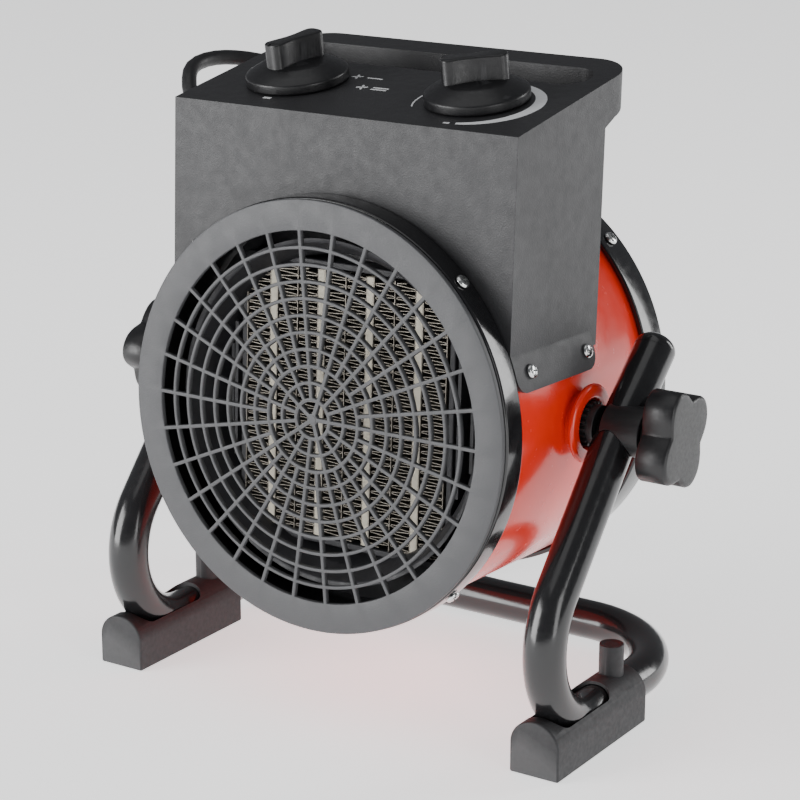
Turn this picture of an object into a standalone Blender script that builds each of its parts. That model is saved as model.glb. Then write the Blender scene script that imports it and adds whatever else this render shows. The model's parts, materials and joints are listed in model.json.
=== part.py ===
"""Tilting ceramic fan heater on a bent-tube stand.

Metres, +Z up. The front of the heater faces -Y and the floor is z = 0.
The origin is on the floor under the middle of the heater without its cord.
The head (drum, control housing and everything inside) hangs on a cross pivot.
Its pieces are modelled in the head's own frame, with the drum's axis along Y
and the pivot at its origin, and the head empty leans that frame slightly back.
"""

import math

import bmesh
import bpy
from mathutils import Matrix, Vector

# ---------------------------------------------------------------- dimensions

GAP = 0.0003                    # clearance between touching pieces
SCREW_GAP = 0.0003              # radial clearance around a screw or a shaft

# Stand
TUBE_RADIUS = 0.008
ARM_X = 0.096                   # centre of each upright of the bent tube
TUBE_Z = 0.012                  # height of the lying stretches of the tube
PIVOT_Z = 0.1175
FRONT_BEND_Y = -0.0195          # where the front bend leaves the lying stretch
FRONT_BEND_RADIUS = 0.033
ARM_SLOPE = math.radians(48.9)
ARM_TOP_SLOPE = math.radians(42.0)      # the stretch above the pivot leans back more
ARM_PAST_PIVOT = 0.036
REAR_BEND_Y = 0.0185
REAR_BEND_RADIUS = 0.044
CAP_HEIGHT = 0.0055
FOOT_WIDTH = 0.0205
FOOT_FRONT = -0.0592
FOOT_BACK = 0.0083
FOOT_WALL_Z = 0.012
FOOT_TOP_Z = 0.0215
FOOT_SLOT_BACK = -0.014
PIN_RADIUS = 0.00475
PIN_Y = -0.0015
PIN_TOP_Z = 0.033

# Head, in its own frame
REST_LEAN = math.radians(2.67)  # the face looks up by this much
DRUM_RADIUS = 0.0795
DRUM_WALL = 0.0015
DRUM_FRONT = -0.0570
DRUM_BACK = 0.0612
RIM_RADIUS = 0.0825
RIM_FRONT = -0.0580
RIM_BACK = -0.0465
FACE_FRONT = -0.0605
FACE_RADIUS = 0.0820
GRILLE_RADIUS = 0.0705
GRILLE_SPOKES = 12
GRILLE_BAR = 0.0022
REAR_RING_RADIUS = 0.0820
REAR_RING_FRONT = 0.0499
REAR_RING_BACK = 0.0643
REAR_OPENING = 0.0735

# Control housing
BOX_HALF_WIDTH = 0.0755
BOX_FRONT = -0.0464
BOX_BACK = 0.0170
BOX_FRONT_TOP = 0.1112
BOX_WALL = 0.0022
PANEL_SLOPE = math.radians(12.0)
HANDLE_BACK = 0.0410
HANDLE_UNDER = 0.0135           # height of the handle's rear face
SLOT_HALF_WIDTH = 0.0670
SLOT_FRONT = 0.0091
SLOT_BACK = 0.0289
SLOT_FLOOR = 0.0985
SLOT_CORNER = 0.0095
BAR_BELOW = ((0.0240, 0.1110), (BOX_BACK, 0.1075))      # underside of the handle's ends
BOX_LOW = 0.0200                # the walls run down into the drum's flange
BOX_EDGE = 0.0035
FLANGE_RADIUS = 0.0823
FLANGE_LOW = 0.0190
FLANGE_BACK = 0.0110

# Screws
SCREW_SHANK = 0.0015
SCREW_HEAD = 0.0028
SCREW_CROWN = 0.0017
SCREW_DEPTH = 0.0065
CORNER_ANGLES = [math.radians(a) for a in (45, 135, 225, 315)]
RIM_SCREW_Y = -0.0530
REAR_SCREW_Y = 0.0570
FLANGE_ANGLES = [math.radians(a) for a in (18, 162)]
FLANGE_SCREW_YS = (-0.0360, 0.0050)

# Knobs on the sloping panel
KNOB_X = 0.0400
KNOB_UP_SLOPE = 0.0310          # distance up the panel from its front edge
KNOB_RADIUS = 0.01975
KNOB_SKIRT = 0.0042
KNOB_SHOULDER = 0.0085
KNOB_HEIGHT = 0.0175
GRIP_LENGTH = 0.0250
GRIP_WIDTH = 0.0084
SELECTOR_TURN = math.radians(75.0)      # grip bar from +X towards the handle
THERMOSTAT_TURN = math.radians(38.0)
STEM_RADIUS = 0.0030

# Cross pivot
BOSS_RADIUS = 0.0150
BOSS_FACE = 0.0850
WASHER_RADIUS = 0.0110
BOLT_RADIUS = 0.0030
BOLT_HEAD_RADIUS = 0.0055
CLAMP_LOBES_START = 0.1112
CLAMP_NECK = 0.0082
CLAMP_RADIUS = 0.0195
CLAMP_FACE = 0.1240
CLAMP_LOBES = [math.radians(a) for a in (-34, 34, 146, 214)]
CLAMP_WAISTS = (0.0150, 0.0125)         # between near lobes, between far lobes
CLAMP_TWIST_RIGHT = math.radians(-15.5)
CLAMP_TWIST_LEFT = math.radians(53.5)
SADDLE_RADIUS = 0.0095
SADDLE_START = 0.0925                   # its hollowed end wraps the outer half of the tube
SADDLE_END = 0.1085

# Heating block and fan
PTC_FRONT = -0.0400
PTC_BACK = -0.0250
PTC_HALF_WIDTH = 0.0450
PTC_HALF_HEIGHT = 0.0520
PTC_BAR_STEP = 0.0218
PTC_BAR_WIDTH = 0.0030
FIN_WAVES = 9
FIN_SHEET = 0.0028              # thickness of the folded strip, measured across the pack
FAN_FRONT = -0.0070
FAN_BACK = 0.0120
FAN_RADIUS = 0.0640
FAN_HUB_RADIUS = 0.0130
FAN_BLADES = 7
MOTOR_RADIUS = 0.0230
BRACKET_Y = 0.0170
MOTOR_BACK = 0.0480
SHAFT_RADIUS = 0.0016

# Cord
CORD_RADIUS = 0.0031
GLAND_NECK = 0.0055
GLAND_X = -0.0560
GLAND_Z = 0.0820                # in the head's frame
GLAND_END = 0.0470              # in the head's frame, along its own Y
COIL_CENTRE = (-0.0700, 0.1200)
COIL_TURN_RADIUS = 0.0341       # middle of the turns
COIL_LAYERS = 3
PLUG_RADIUS = 0.0185

# The heater reaches from the rim's bottom edge to the back of the crossbar.
FRONT_REACH = (-FACE_FRONT * math.cos(REST_LEAN)
               + FACE_RADIUS * math.sin(REST_LEAN))
BACK_REACH = REAR_BEND_Y + REAR_BEND_RADIUS + TUBE_RADIUS
SHIFT_Y = (FRONT_REACH - BACK_REACH) / 2


# ----------------------------------------------------------------- materials

def material(name, colour, roughness, metallic=0.0):
    """A Principled material of one colour."""
    made = bpy.data.materials.new(name)
    made.use_nodes = True
    shader = made.node_tree.nodes["Principled BSDF"]
    shader.inputs["Base Color"].default_value = (*colour, 1.0)
    shader.inputs["Roughness"].default_value = roughness
    shader.inputs["Metallic"].default_value = metallic
    made.diffuse_color = (*colour, 1.0)
    return made


# -------------------------------------------------------------- mesh helpers

TURN_TO = {
    "Z": Matrix.Identity(4),
    "Y": Matrix.Rotation(-math.pi / 2, 4, "X"),
    "X": Matrix.Rotation(math.pi / 2, 4, "Y"),
}


def place(mesh_object, look, parent=None, location=(0, 0, 0), turn=(0, 0, 0)):
    """Give an object its material, parent and place."""
    if look is not None:
        mesh_object.data.materials.append(look)
    mesh_object.parent = parent
    mesh_object.location = location
    mesh_object.rotation_euler = turn
    return mesh_object


def object_from(bm, name, smooth_below=math.radians(35)):
    """Turn a bmesh into an object with outward faces and smooth rounds."""
    bmesh.ops.recalc_face_normals(bm, faces=bm.faces)
    mesh = bpy.data.meshes.new(name)
    bm.to_mesh(mesh)
    bm.free()
    mesh.shade_smooth()
    mesh.set_sharp_from_angle(angle=smooth_below)
    made = bpy.data.objects.new(name, mesh)
    bpy.context.scene.collection.objects.link(made)
    return made


def turned(name, profile, axis="Z", segments=32, ring=False):
    """Turn (radius, height) points about the axis; a ring's profile closes on itself."""
    bm = bmesh.new()
    rows = []
    for radius, height in profile:
        if radius == 0:
            rows.append([bm.verts.new((0, 0, height))])
            continue
        rows.append([
            bm.verts.new((radius * math.cos(2 * math.pi * i / segments),
                          radius * math.sin(2 * math.pi * i / segments), height))
            for i in range(segments)])
    pairs = list(zip(rows, rows[1:]))
    if ring:
        pairs.append((rows[-1], rows[0]))
    for upper, lower in pairs:
        for i in range(segments):
            j = (i + 1) % segments
            if len(upper) == 1 and len(lower) == 1:
                continue
            if len(upper) == 1:
                bm.faces.new((upper[0], lower[i], lower[j]))
            elif len(lower) == 1:
                bm.faces.new((upper[j], upper[i], lower[0]))
            else:
                bm.faces.new((upper[j], upper[i], lower[i], lower[j]))
    bm.transform(TURN_TO[axis])
    return object_from(bm, name)


def rod(name, radius, low, high, axis="Z", segments=24, edge=0.0):
    """A solid round bar, with a small chamfer at both ends when edge is given."""
    side = [(radius, high), (radius, low)]
    if edge:
        side = [(radius - edge, high), (radius, high - edge),
                (radius, low + edge), (radius - edge, low)]
    return turned(name, [(0, high)] + side + [(0, low)], axis, segments)


def band(name, inner, outer, low, high, axis="Y", segments=48):
    """A plain ring with a rectangular section."""
    profile = [(inner, high), (outer, high), (outer, low), (inner, low)]
    return turned(name, profile, axis, segments, ring=True)


def prism(name, outline, axis, low, high):
    """Extrude an outline along an axis; its points are in the other two axes, in order."""
    corner = {
        "X": lambda a, b, c: (c, a, b),
        "Y": lambda a, b, c: (a, c, b),
        "Z": lambda a, b, c: (a, b, c),
    }[axis]
    bm = bmesh.new()
    ends = [[bm.verts.new(corner(a, b, c)) for a, b in outline] for c in (low, high)]
    bm.faces.new(ends[0])
    bm.faces.new(ends[1])
    count = len(outline)
    for i in range(count):
        j = (i + 1) % count
        bm.faces.new((ends[0][i], ends[0][j], ends[1][j], ends[1][i]))
    return object_from(bm, name)


def block(name, low, high):
    """A box between two corners."""
    outline = [(low[0], low[1]), (high[0], low[1]), (high[0], high[1]), (low[0], high[1])]
    return prism(name, outline, "Z", low[2], high[2])


def joined(name, pieces):
    """One object that holds the meshes of several, kept as separate bodies."""
    bm = bmesh.new()
    for piece in pieces:
        part = piece.data.copy()
        part.transform(piece.matrix_basis)
        bm.from_mesh(part)
        bpy.data.meshes.remove(part)
        bpy.data.objects.remove(piece)
    return object_from(bm, name)


def soften(target, width, segments=2, angle=math.radians(40)):
    """Round an object's sharp edges."""
    bevel = target.modifiers.new("edge_radius", "BEVEL")
    bevel.width = width
    bevel.segments = segments
    bevel.limit_method = "ANGLE"
    bevel.angle_limit = angle
    bevel.use_clamp_overlap = True


def combine(target, tool, operation):
    """Cut a tool out of a piece, or weld it on; the tool itself is only a guide."""
    boolean = target.modifiers.new(tool.name, "BOOLEAN")
    boolean.operation = operation
    boolean.solver = "EXACT"
    boolean.object = tool
    tool.hide_render = True
    tool.display_type = "WIRE"


def arc(centre, radius, start, stop, steps):
    """Points of a circular arc in a plane."""
    return [(centre[0] + radius * math.cos(start + (stop - start) * i / steps),
             centre[1] + radius * math.sin(start + (stop - start) * i / steps))
            for i in range(steps + 1)]


def rounded_outline(half_a, half_b, radius, steps=4):
    """A rectangle's outline about the origin with round corners."""
    points = []
    for i, (a, b) in enumerate(((1, 1), (-1, 1), (-1, -1), (1, -1))):
        centre = (a * (half_a - radius), b * (half_b - radius))
        points += arc(centre, radius, i * math.pi / 2, (i + 1) * math.pi / 2, steps)
    return points


def tube(name, points, radius, resolution):
    """A round bar along a list of points, with flat filled ends."""
    curve = bpy.data.curves.new(name, "CURVE")
    curve.dimensions = "3D"
    spline = curve.splines.new("POLY")
    spline.points.add(len(points) - 1)
    for spot, point in zip(spline.points, points):
        spot.co = (*point, 1.0)
    spline.use_smooth = True
    curve.bevel_depth = radius
    curve.bevel_resolution = resolution
    curve.use_fill_caps = True
    curve.twist_mode = "MINIMUM"
    made = bpy.data.objects.new(name, curve)
    bpy.context.scene.collection.objects.link(made)
    return made


def swept_bar(name, points, radius, sides):
    """A round bar as a mesh: one section at each point, square to the path."""
    bm = bmesh.new()
    rings = []
    side = None
    for i, point in enumerate(points):
        before = points[max(i - 1, 0)]
        after = points[min(i + 1, len(points) - 1)]
        along = ((point - before).normalized() + (after - point).normalized()).normalized()
        if side is None:
            side = along.orthogonal()
        side = (side - along * side.dot(along)).normalized()
        other = along.cross(side)
        rings.append([bm.verts.new(point + radius * (side * math.cos(2 * math.pi * k / sides)
                                                     + other * math.sin(2 * math.pi * k / sides)))
                      for k in range(sides)])
    for upper, lower in zip(rings, rings[1:]):
        for k in range(sides):
            after = (k + 1) % sides
            bm.faces.new((upper[k], upper[after], lower[after], lower[k]))
    bm.faces.new(rings[0])
    bm.faces.new(rings[-1])
    return object_from(bm, name)


def empty(name, location, turn=(0, 0, 0), parent=None):
    """A reference point that pieces are fastened to."""
    made = bpy.data.objects.new(name, None)
    made.empty_display_size = 0.02
    made.location = location
    made.rotation_euler = turn
    made.parent = parent
    bpy.context.scene.collection.objects.link(made)
    return made


# --------------------------------------------------------------------- stand

def stand_half_path():
    """Middle line of the right half of the bent tube, from its top end to the middle."""
    up = Vector((0, math.cos(ARM_TOP_SLOPE), math.sin(ARM_TOP_SLOPE)))
    pivot = Vector((ARM_X, 0, PIVOT_Z))
    path = [pivot + up * ARM_PAST_PIVOT, pivot]
    bend_z = TUBE_Z + FRONT_BEND_RADIUS
    start = ARM_SLOPE + math.pi / 2
    front = arc((FRONT_BEND_Y, bend_z), FRONT_BEND_RADIUS, start, 1.5 * math.pi, 9)
    path += [Vector((ARM_X, y, z)) for y, z in front]
    centre = (ARM_X - REAR_BEND_RADIUS, REAR_BEND_Y)
    rear = arc(centre, REAR_BEND_RADIUS, 0, math.pi / 2, 7)
    path += [Vector((x, y, TUBE_Z)) for x, y in rear]
    return path


def stand_path():
    """The whole tube's middle line, right end to left end."""
    right = stand_half_path()
    left = [Vector((-p.x, p.y, p.z)) for p in reversed(right)]
    return right + left


def foot_outline():
    """Section of a foot: flat sole, upright sides and an arched top."""
    half = FOOT_WIDTH / 2
    rise = FOOT_TOP_Z - FOOT_WALL_Z
    steps = 10
    outline = [(-half, 0), (half, 0)]
    for i in range(steps + 1):
        angle = math.pi * i / steps
        outline.append((half * math.cos(angle), FOOT_WALL_Z + rise * math.sin(angle)))
    return outline


def make_stand(ground, steel, rubber, cap_plastic):
    """The bent tube with its feet, pins and end caps."""
    frame_tube = place(swept_bar("stand_tube", stand_path(), TUBE_RADIUS, 14), steel, ground)
    bolt_way = rod("bolt_way", BOLT_RADIUS + SCREW_GAP, -0.12, 0.12, "X", 16)
    place(bolt_way, None, ground, (0, 0, PIVOT_Z))
    combine(frame_tube, bolt_way, "DIFFERENCE")

    tube_room = swept_bar("tube_room", stand_path(), TUBE_RADIUS + GAP, 14)
    place(tube_room, None, ground)
    up = Vector((0, math.cos(ARM_TOP_SLOPE), math.sin(ARM_TOP_SLOPE)))
    for side, sign in (("right", 1), ("left", -1)):
        foot = prism("foot_" + side, foot_outline(), "Y", FOOT_FRONT, FOOT_BACK)
        place(foot, rubber, ground, (sign * ARM_X, 0, 0))
        combine(foot, tube_room, "DIFFERENCE")
        half = TUBE_RADIUS + GAP
        slot_low = (-half, FRONT_BEND_Y - FRONT_BEND_RADIUS, TUBE_Z)
        slot = block("foot_slot_" + side, slot_low, (half, FOOT_SLOT_BACK, PIN_TOP_Z))
        place(slot, None, ground, (sign * ARM_X, 0, 0))
        combine(foot, slot, "DIFFERENCE")
        pin_room = rod("pin_room_" + side, PIN_RADIUS + GAP, TUBE_Z, PIN_TOP_Z, "Z", 20)
        place(pin_room, None, ground, (sign * ARM_X, PIN_Y, 0))
        combine(foot, pin_room, "DIFFERENCE")

        pin_foot = TUBE_Z + TUBE_RADIUS + GAP
        pin = rod("foot_pin_" + side, PIN_RADIUS, pin_foot, PIN_TOP_Z, "Z", 20, 0.0008)
        place(pin, cap_plastic, ground, (sign * ARM_X, PIN_Y, 0))

        dome = [(TUBE_RADIUS * math.cos(a), CAP_HEIGHT * math.sin(a))
                for a in (0.0, 0.35, 0.7, 1.05, 1.35)]
        profile = [(0, CAP_HEIGHT)] + dome[::-1] + [(0, 0)]
        cap = turned("tube_cap_" + side, profile, "Z", 24)
        spot = Vector((sign * ARM_X, 0, PIVOT_Z)) + up * (ARM_PAST_PIVOT + GAP)
        place(cap, cap_plastic, ground, spot, (ARM_TOP_SLOPE - math.pi / 2, 0, 0))

        saddle = rod("clamp_saddle_" + side, SADDLE_RADIUS, SADDLE_START, SADDLE_END, "X", 24, 0.0006)
        place(saddle, cap_plastic, ground, (0, 0, PIVOT_Z), (0, 0 if sign == 1 else math.pi, 0))
        combine(saddle, tube_room, "DIFFERENCE")
        combine(saddle, bolt_way, "DIFFERENCE")


# ------------------------------------------------------------- drum and rims

def polar_grille(name, inner, outer, rings, spokes, bar, low, high):
    """A flat guard: rings and straight spokes of one width between two faces along Y."""
    step = (outer - inner) / rings
    radii = []
    for k in range(rings + 1):
        middle = inner + k * step
        radii += [middle - bar / 2, middle + bar / 2]
    bm = bmesh.new()

    def corner(r, spoke, side, depth):
        angle = 2 * math.pi * spoke / spokes + side * math.asin(bar / 2 / r)
        return bm.verts.new((r * math.cos(angle), depth, r * math.sin(angle)))

    grid = {}
    for i, r in enumerate(radii):
        for spoke in range(spokes):
            for side in (-1, 1):
                for face, depth in enumerate((low, high)):
                    grid[i, spoke, side, face] = corner(r, spoke, side, depth)

    def cells():
        """The solid cells: each has four corners given as (ring edge, spoke, side)."""
        for i in range(len(radii) - 1):
            for spoke in range(spokes):
                after = (spoke + 1) % spokes
                yield ((i, spoke, -1), (i + 1, spoke, -1), (i + 1, spoke, 1), (i, spoke, 1))
                if i % 2 == 0:
                    yield ((i, spoke, 1), (i + 1, spoke, 1), (i + 1, after, -1), (i, after, -1))

    used = {}
    for cell in cells():
        bm.faces.new([grid[c + (0,)] for c in cell])
        bm.faces.new([grid[c + (1,)] for c in reversed(cell)])
        for a, b in zip(cell, cell[1:] + cell[:1]):
            if (b, a) in used:
                del used[b, a]
            else:
                used[a, b] = True
    for a, b in used:
        bm.faces.new((grid[a + (0,)], grid[a + (1,)], grid[b + (1,)], grid[b + (0,)]))
    return object_from(bm, name)


def screw_ways(name, angles, y, reach):
    """Round cutters along the radii at the given angles."""
    pieces = []
    for i, angle in enumerate(angles):
        way = rod("{}_{}".format(name, i), SCREW_SHANK + SCREW_GAP, reach[0], reach[1], "X", 8)
        way.matrix_basis = Matrix.Translation((0, y, 0)) @ Matrix.Rotation(-angle, 4, "Y")
        pieces.append(way)
    return joined(name, pieces)


def radial_screw(name, angle, y, seat, head, zinc):
    """A pan-head screw driven towards the drum's axis."""
    crown = [(0.0, SCREW_CROWN), (0.65, SCREW_CROWN), (1.0, 0.4 * SCREW_CROWN), (1.0, 0.0)]
    profile = [(SCREW_HEAD * share, height) for share, height in crown]
    profile += [(SCREW_SHANK, 0), (SCREW_SHANK, -SCREW_DEPTH), (0, -SCREW_DEPTH)]
    screw = turned(name, profile, "X", 10)
    around = (seat * math.cos(angle), y, seat * math.sin(angle))
    place(screw, zinc, head, around, (0, -angle, 0))


def make_drum(head, red, black, grey, zinc):
    """The drum with its front rim, face, rear ring and both guards."""
    shell = band("drum_shell", DRUM_RADIUS - DRUM_WALL, DRUM_RADIUS, DRUM_FRONT, DRUM_BACK)
    place(shell, red, head)
    rim = band("front_rim", DRUM_RADIUS + GAP, RIM_RADIUS, RIM_FRONT, RIM_BACK - GAP)
    place(rim, black, head)

    face_back = RIM_FRONT - GAP
    rings = 4
    inner = GRILLE_RADIUS / (rings + 1)
    grille = polar_grille("front_grille", inner, GRILLE_RADIUS + GRILLE_BAR / 2 - 0.0005,
                          rings, GRILLE_SPOKES, GRILLE_BAR, FACE_FRONT, face_back)
    place(grille, grey, head)
    face = band("face_ring", GRILLE_RADIUS, FACE_RADIUS, FACE_FRONT, face_back)
    place(face, None, head)
    combine(grille, face, "UNION")

    lip = REAR_RING_BACK - 0.0020
    profile = [(REAR_OPENING, REAR_RING_BACK), (REAR_RING_RADIUS, REAR_RING_BACK),
               (REAR_RING_RADIUS, REAR_RING_FRONT), (DRUM_RADIUS + GAP, REAR_RING_FRONT),
               (DRUM_RADIUS + GAP, lip), (REAR_OPENING, lip)]
    rear = turned("rear_ring", profile, "Y", 48, ring=True)
    place(rear, black, head)
    guard_radius = DRUM_RADIUS - DRUM_WALL - GAP - GRILLE_BAR / 2
    guard = polar_grille("rear_guard", guard_radius / 4, guard_radius, 3, 10, GRILLE_BAR,
                         lip - GAP - 0.0020, lip - GAP)
    place(guard, black, head)

    reach = (DRUM_RADIUS - 0.008, RIM_RADIUS + 0.002)
    front_ways = place(screw_ways("rim_screw_ways", CORNER_ANGLES, RIM_SCREW_Y, reach), None, head)
    rear_ways = place(screw_ways("rear_screw_ways", CORNER_ANGLES, REAR_SCREW_Y, reach), None, head)
    pivot_way = rod("pivot_way", BOLT_RADIUS + SCREW_GAP, -0.1, 0.1, "X", 16)
    place(pivot_way, None, head)
    for target, ways in ((shell, (front_ways, rear_ways, pivot_way)),
                         (rim, (front_ways,)), (rear, (rear_ways,))):
        for way in ways:
            combine(target, way, "DIFFERENCE")
    for i, angle in enumerate(CORNER_ANGLES):
        radial_screw("rim_screw_{}".format(i + 1), angle, RIM_SCREW_Y, RIM_RADIUS + GAP, head, zinc)
        radial_screw("rear_screw_{}".format(i + 1), angle, REAR_SCREW_Y,
                     REAR_RING_RADIUS + GAP, head, zinc)
    return shell


# ----------------------------------------------------------- control housing

def panel_height(y):
    """Height of the sloping panel at a depth in the head's frame."""
    return BOX_FRONT_TOP + (y - BOX_FRONT) * math.tan(PANEL_SLOPE)


def housing_outline():
    """Side view of the housing: front, sloping panel, handle and rear wall."""
    rear_low = panel_height(HANDLE_BACK) - HANDLE_UNDER
    return [(BOX_FRONT, BOX_LOW), (BOX_FRONT, BOX_FRONT_TOP),
            (HANDLE_BACK, panel_height(HANDLE_BACK)), (HANDLE_BACK, rear_low),
            *BAR_BELOW, (BOX_BACK, BOX_LOW)]


def cavity_outline():
    """Side view of the room inside the housing."""
    front = BOX_FRONT + BOX_WALL
    back = SLOT_FRONT - BOX_WALL
    under = BOX_WALL / math.cos(PANEL_SLOPE)
    low_back = BOX_BACK - BOX_WALL
    ledge = SLOT_FLOOR - BOX_WALL
    return [(front, 0.010), (front, panel_height(front) - under),
            (back, panel_height(back) - under), (back, ledge), (low_back, ledge),
            (low_back, 0.010)]


def make_housing(head, shell, charcoal, zinc):
    """The moulded control housing with its handle and the flange that hugs the drum."""
    flange = turned("flange_skin", [(0, FLANGE_BACK), (FLANGE_RADIUS, FLANGE_BACK),
                                    (FLANGE_RADIUS, BOX_FRONT), (0, BOX_FRONT)], "Y", 96)
    place(flange, None, head)
    below = block("below_flange", (-0.1, -0.1, -0.1), (0.1, 0.1, FLANGE_LOW))
    place(below, None, head)
    drum_room = rod("drum_room", DRUM_RADIUS + GAP, -0.08, 0.08, "Y", 96)
    place(drum_room, None, head)
    cavity = prism("housing_cavity", cavity_outline(), "X",
                   -BOX_HALF_WIDTH + BOX_WALL, BOX_HALF_WIDTH - BOX_WALL)
    place(cavity, None, head)
    slot_half_depth = (SLOT_BACK - SLOT_FRONT) / 2
    slot = prism("finger_slot", rounded_outline(SLOT_HALF_WIDTH, slot_half_depth, SLOT_CORNER),
                 "Z", SLOT_FLOOR, 0.150)
    place(slot, None, head, (0, (SLOT_BACK + SLOT_FRONT) / 2, 0))

    housing = prism("control_housing", housing_outline(), "X", -BOX_HALF_WIDTH, BOX_HALF_WIDTH)
    place(housing, charcoal, head)
    soften(housing, BOX_EDGE, 3)
    combine(housing, flange, "UNION")
    for tool in (below, drum_room, cavity, slot):
        combine(housing, tool, "DIFFERENCE")

    spot_y = BOX_FRONT + KNOB_UP_SLOPE * math.cos(PANEL_SLOPE)
    for side, sign in (("left", -1), ("right", 1)):
        way = rod("stem_way_" + side, STEM_RADIUS + SCREW_GAP, -0.010, 0.010, "Z", 16)
        place(way, None, head, (sign * KNOB_X, spot_y, panel_height(spot_y)), (PANEL_SLOPE, 0, 0))
        combine(housing, way, "DIFFERENCE")
    gland_way = rod("gland_way", GLAND_NECK + GAP, 0.0, 0.04, "Y", 20)
    place(gland_way, None, head, (GLAND_X, 0, GLAND_Z))
    combine(housing, gland_way, "DIFFERENCE")

    reach = (DRUM_RADIUS - 0.008, FLANGE_RADIUS + 0.002)
    for row, y in enumerate(FLANGE_SCREW_YS):
        ways = screw_ways("flange_ways_{}".format(row), FLANGE_ANGLES, y, reach)
        place(ways, None, head)
        combine(housing, ways, "DIFFERENCE")
        combine(shell, ways, "DIFFERENCE")
        for i, angle in enumerate(FLANGE_ANGLES):
            radial_screw("flange_screw_{}".format(2 * row + i + 1), angle, y,
                         FLANGE_RADIUS + GAP, head, zinc)



def make_gland(head, rubber):
    """The strain relief that the cord leaves the housing by."""
    flange = 0.0075
    wall = BOX_BACK - BOX_WALL
    profile = [(0, GLAND_END), (0.0038, GLAND_END), (0.0052, BOX_BACK + 0.0035),
               (flange, BOX_BACK + 0.0025), (flange, BOX_BACK + GAP),
               (GLAND_NECK, BOX_BACK + GAP), (GLAND_NECK, wall - 0.003), (0, wall - 0.003)]
    gland = turned("cord_gland", profile, "Y", 20)
    place(gland, rubber, head, (GLAND_X, 0, GLAND_Z))


# --------------------------------------------------------------------- knobs

def make_panel_knob(name, sign, turn, head, black):
    """A round skirt with a waisted grip bar; it turns about the panel's normal."""
    y = BOX_FRONT + KNOB_UP_SLOPE * math.cos(PANEL_SLOPE)
    spot = empty(name + "_axis", (sign * KNOB_X, y, panel_height(y)), (PANEL_SLOPE, 0, 0), head)
    stem_end = -BOX_WALL - 0.003
    profile = [(0, KNOB_SHOULDER), (0.012, KNOB_SHOULDER), (0.0172, KNOB_SHOULDER - 0.0018),
               (KNOB_RADIUS - 0.0006, KNOB_SKIRT + 0.0010), (KNOB_RADIUS, KNOB_SKIRT),
               (KNOB_RADIUS, GAP), (STEM_RADIUS, GAP), (STEM_RADIUS, stem_end), (0, stem_end)]
    skirt = turned(name, profile, "Z", 28)
    place(skirt, black, spot, (0, 0, 0), (0, 0, turn))
    half_length = GRIP_LENGTH / 2
    outline = []
    for end in (1, -1):
        for i in range(7):
            angle = math.pi * (i / 6 - 0.5) + (0 if end == 1 else math.pi)
            outline.append((end * (half_length - GRIP_WIDTH / 2)
                            + GRIP_WIDTH / 2 * math.cos(angle),
                            GRIP_WIDTH / 2 * math.sin(angle)))
        outline.append((0, end * (GRIP_WIDTH / 2 - 0.0008)))
    bar = prism(name + "_grip", outline, "Z", KNOB_SHOULDER - 0.002, KNOB_HEIGHT)
    place(bar, None, spot, (0, 0, 0), (0, 0, turn))
    combine(skirt, bar, "UNION")


def clamp_outline(share):
    """Two pairs of lobes with scallops between; share 0 is the round neck, 1 the full knob.

    Angles run from +Z towards +Y.
    """
    points = []
    count = 48
    for i in range(count):
        angle = 2 * math.pi * i / count - math.pi / 2
        for k, start in enumerate(CLAMP_LOBES):
            width = (CLAMP_LOBES[(k + 1) % 4] - start) % (2 * math.pi)
            along = (angle - start) % (2 * math.pi)
            if along < width:
                waist = CLAMP_WAISTS[k % 2]
                wave = (1 + math.cos(2 * math.pi * along / width)) / 2
        lobed = waist + (CLAMP_RADIUS - waist) * wave
        radius = CLAMP_NECK + (lobed - CLAMP_NECK) * share
        points.append((radius * math.sin(angle), radius * math.cos(angle)))
    return points


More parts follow.
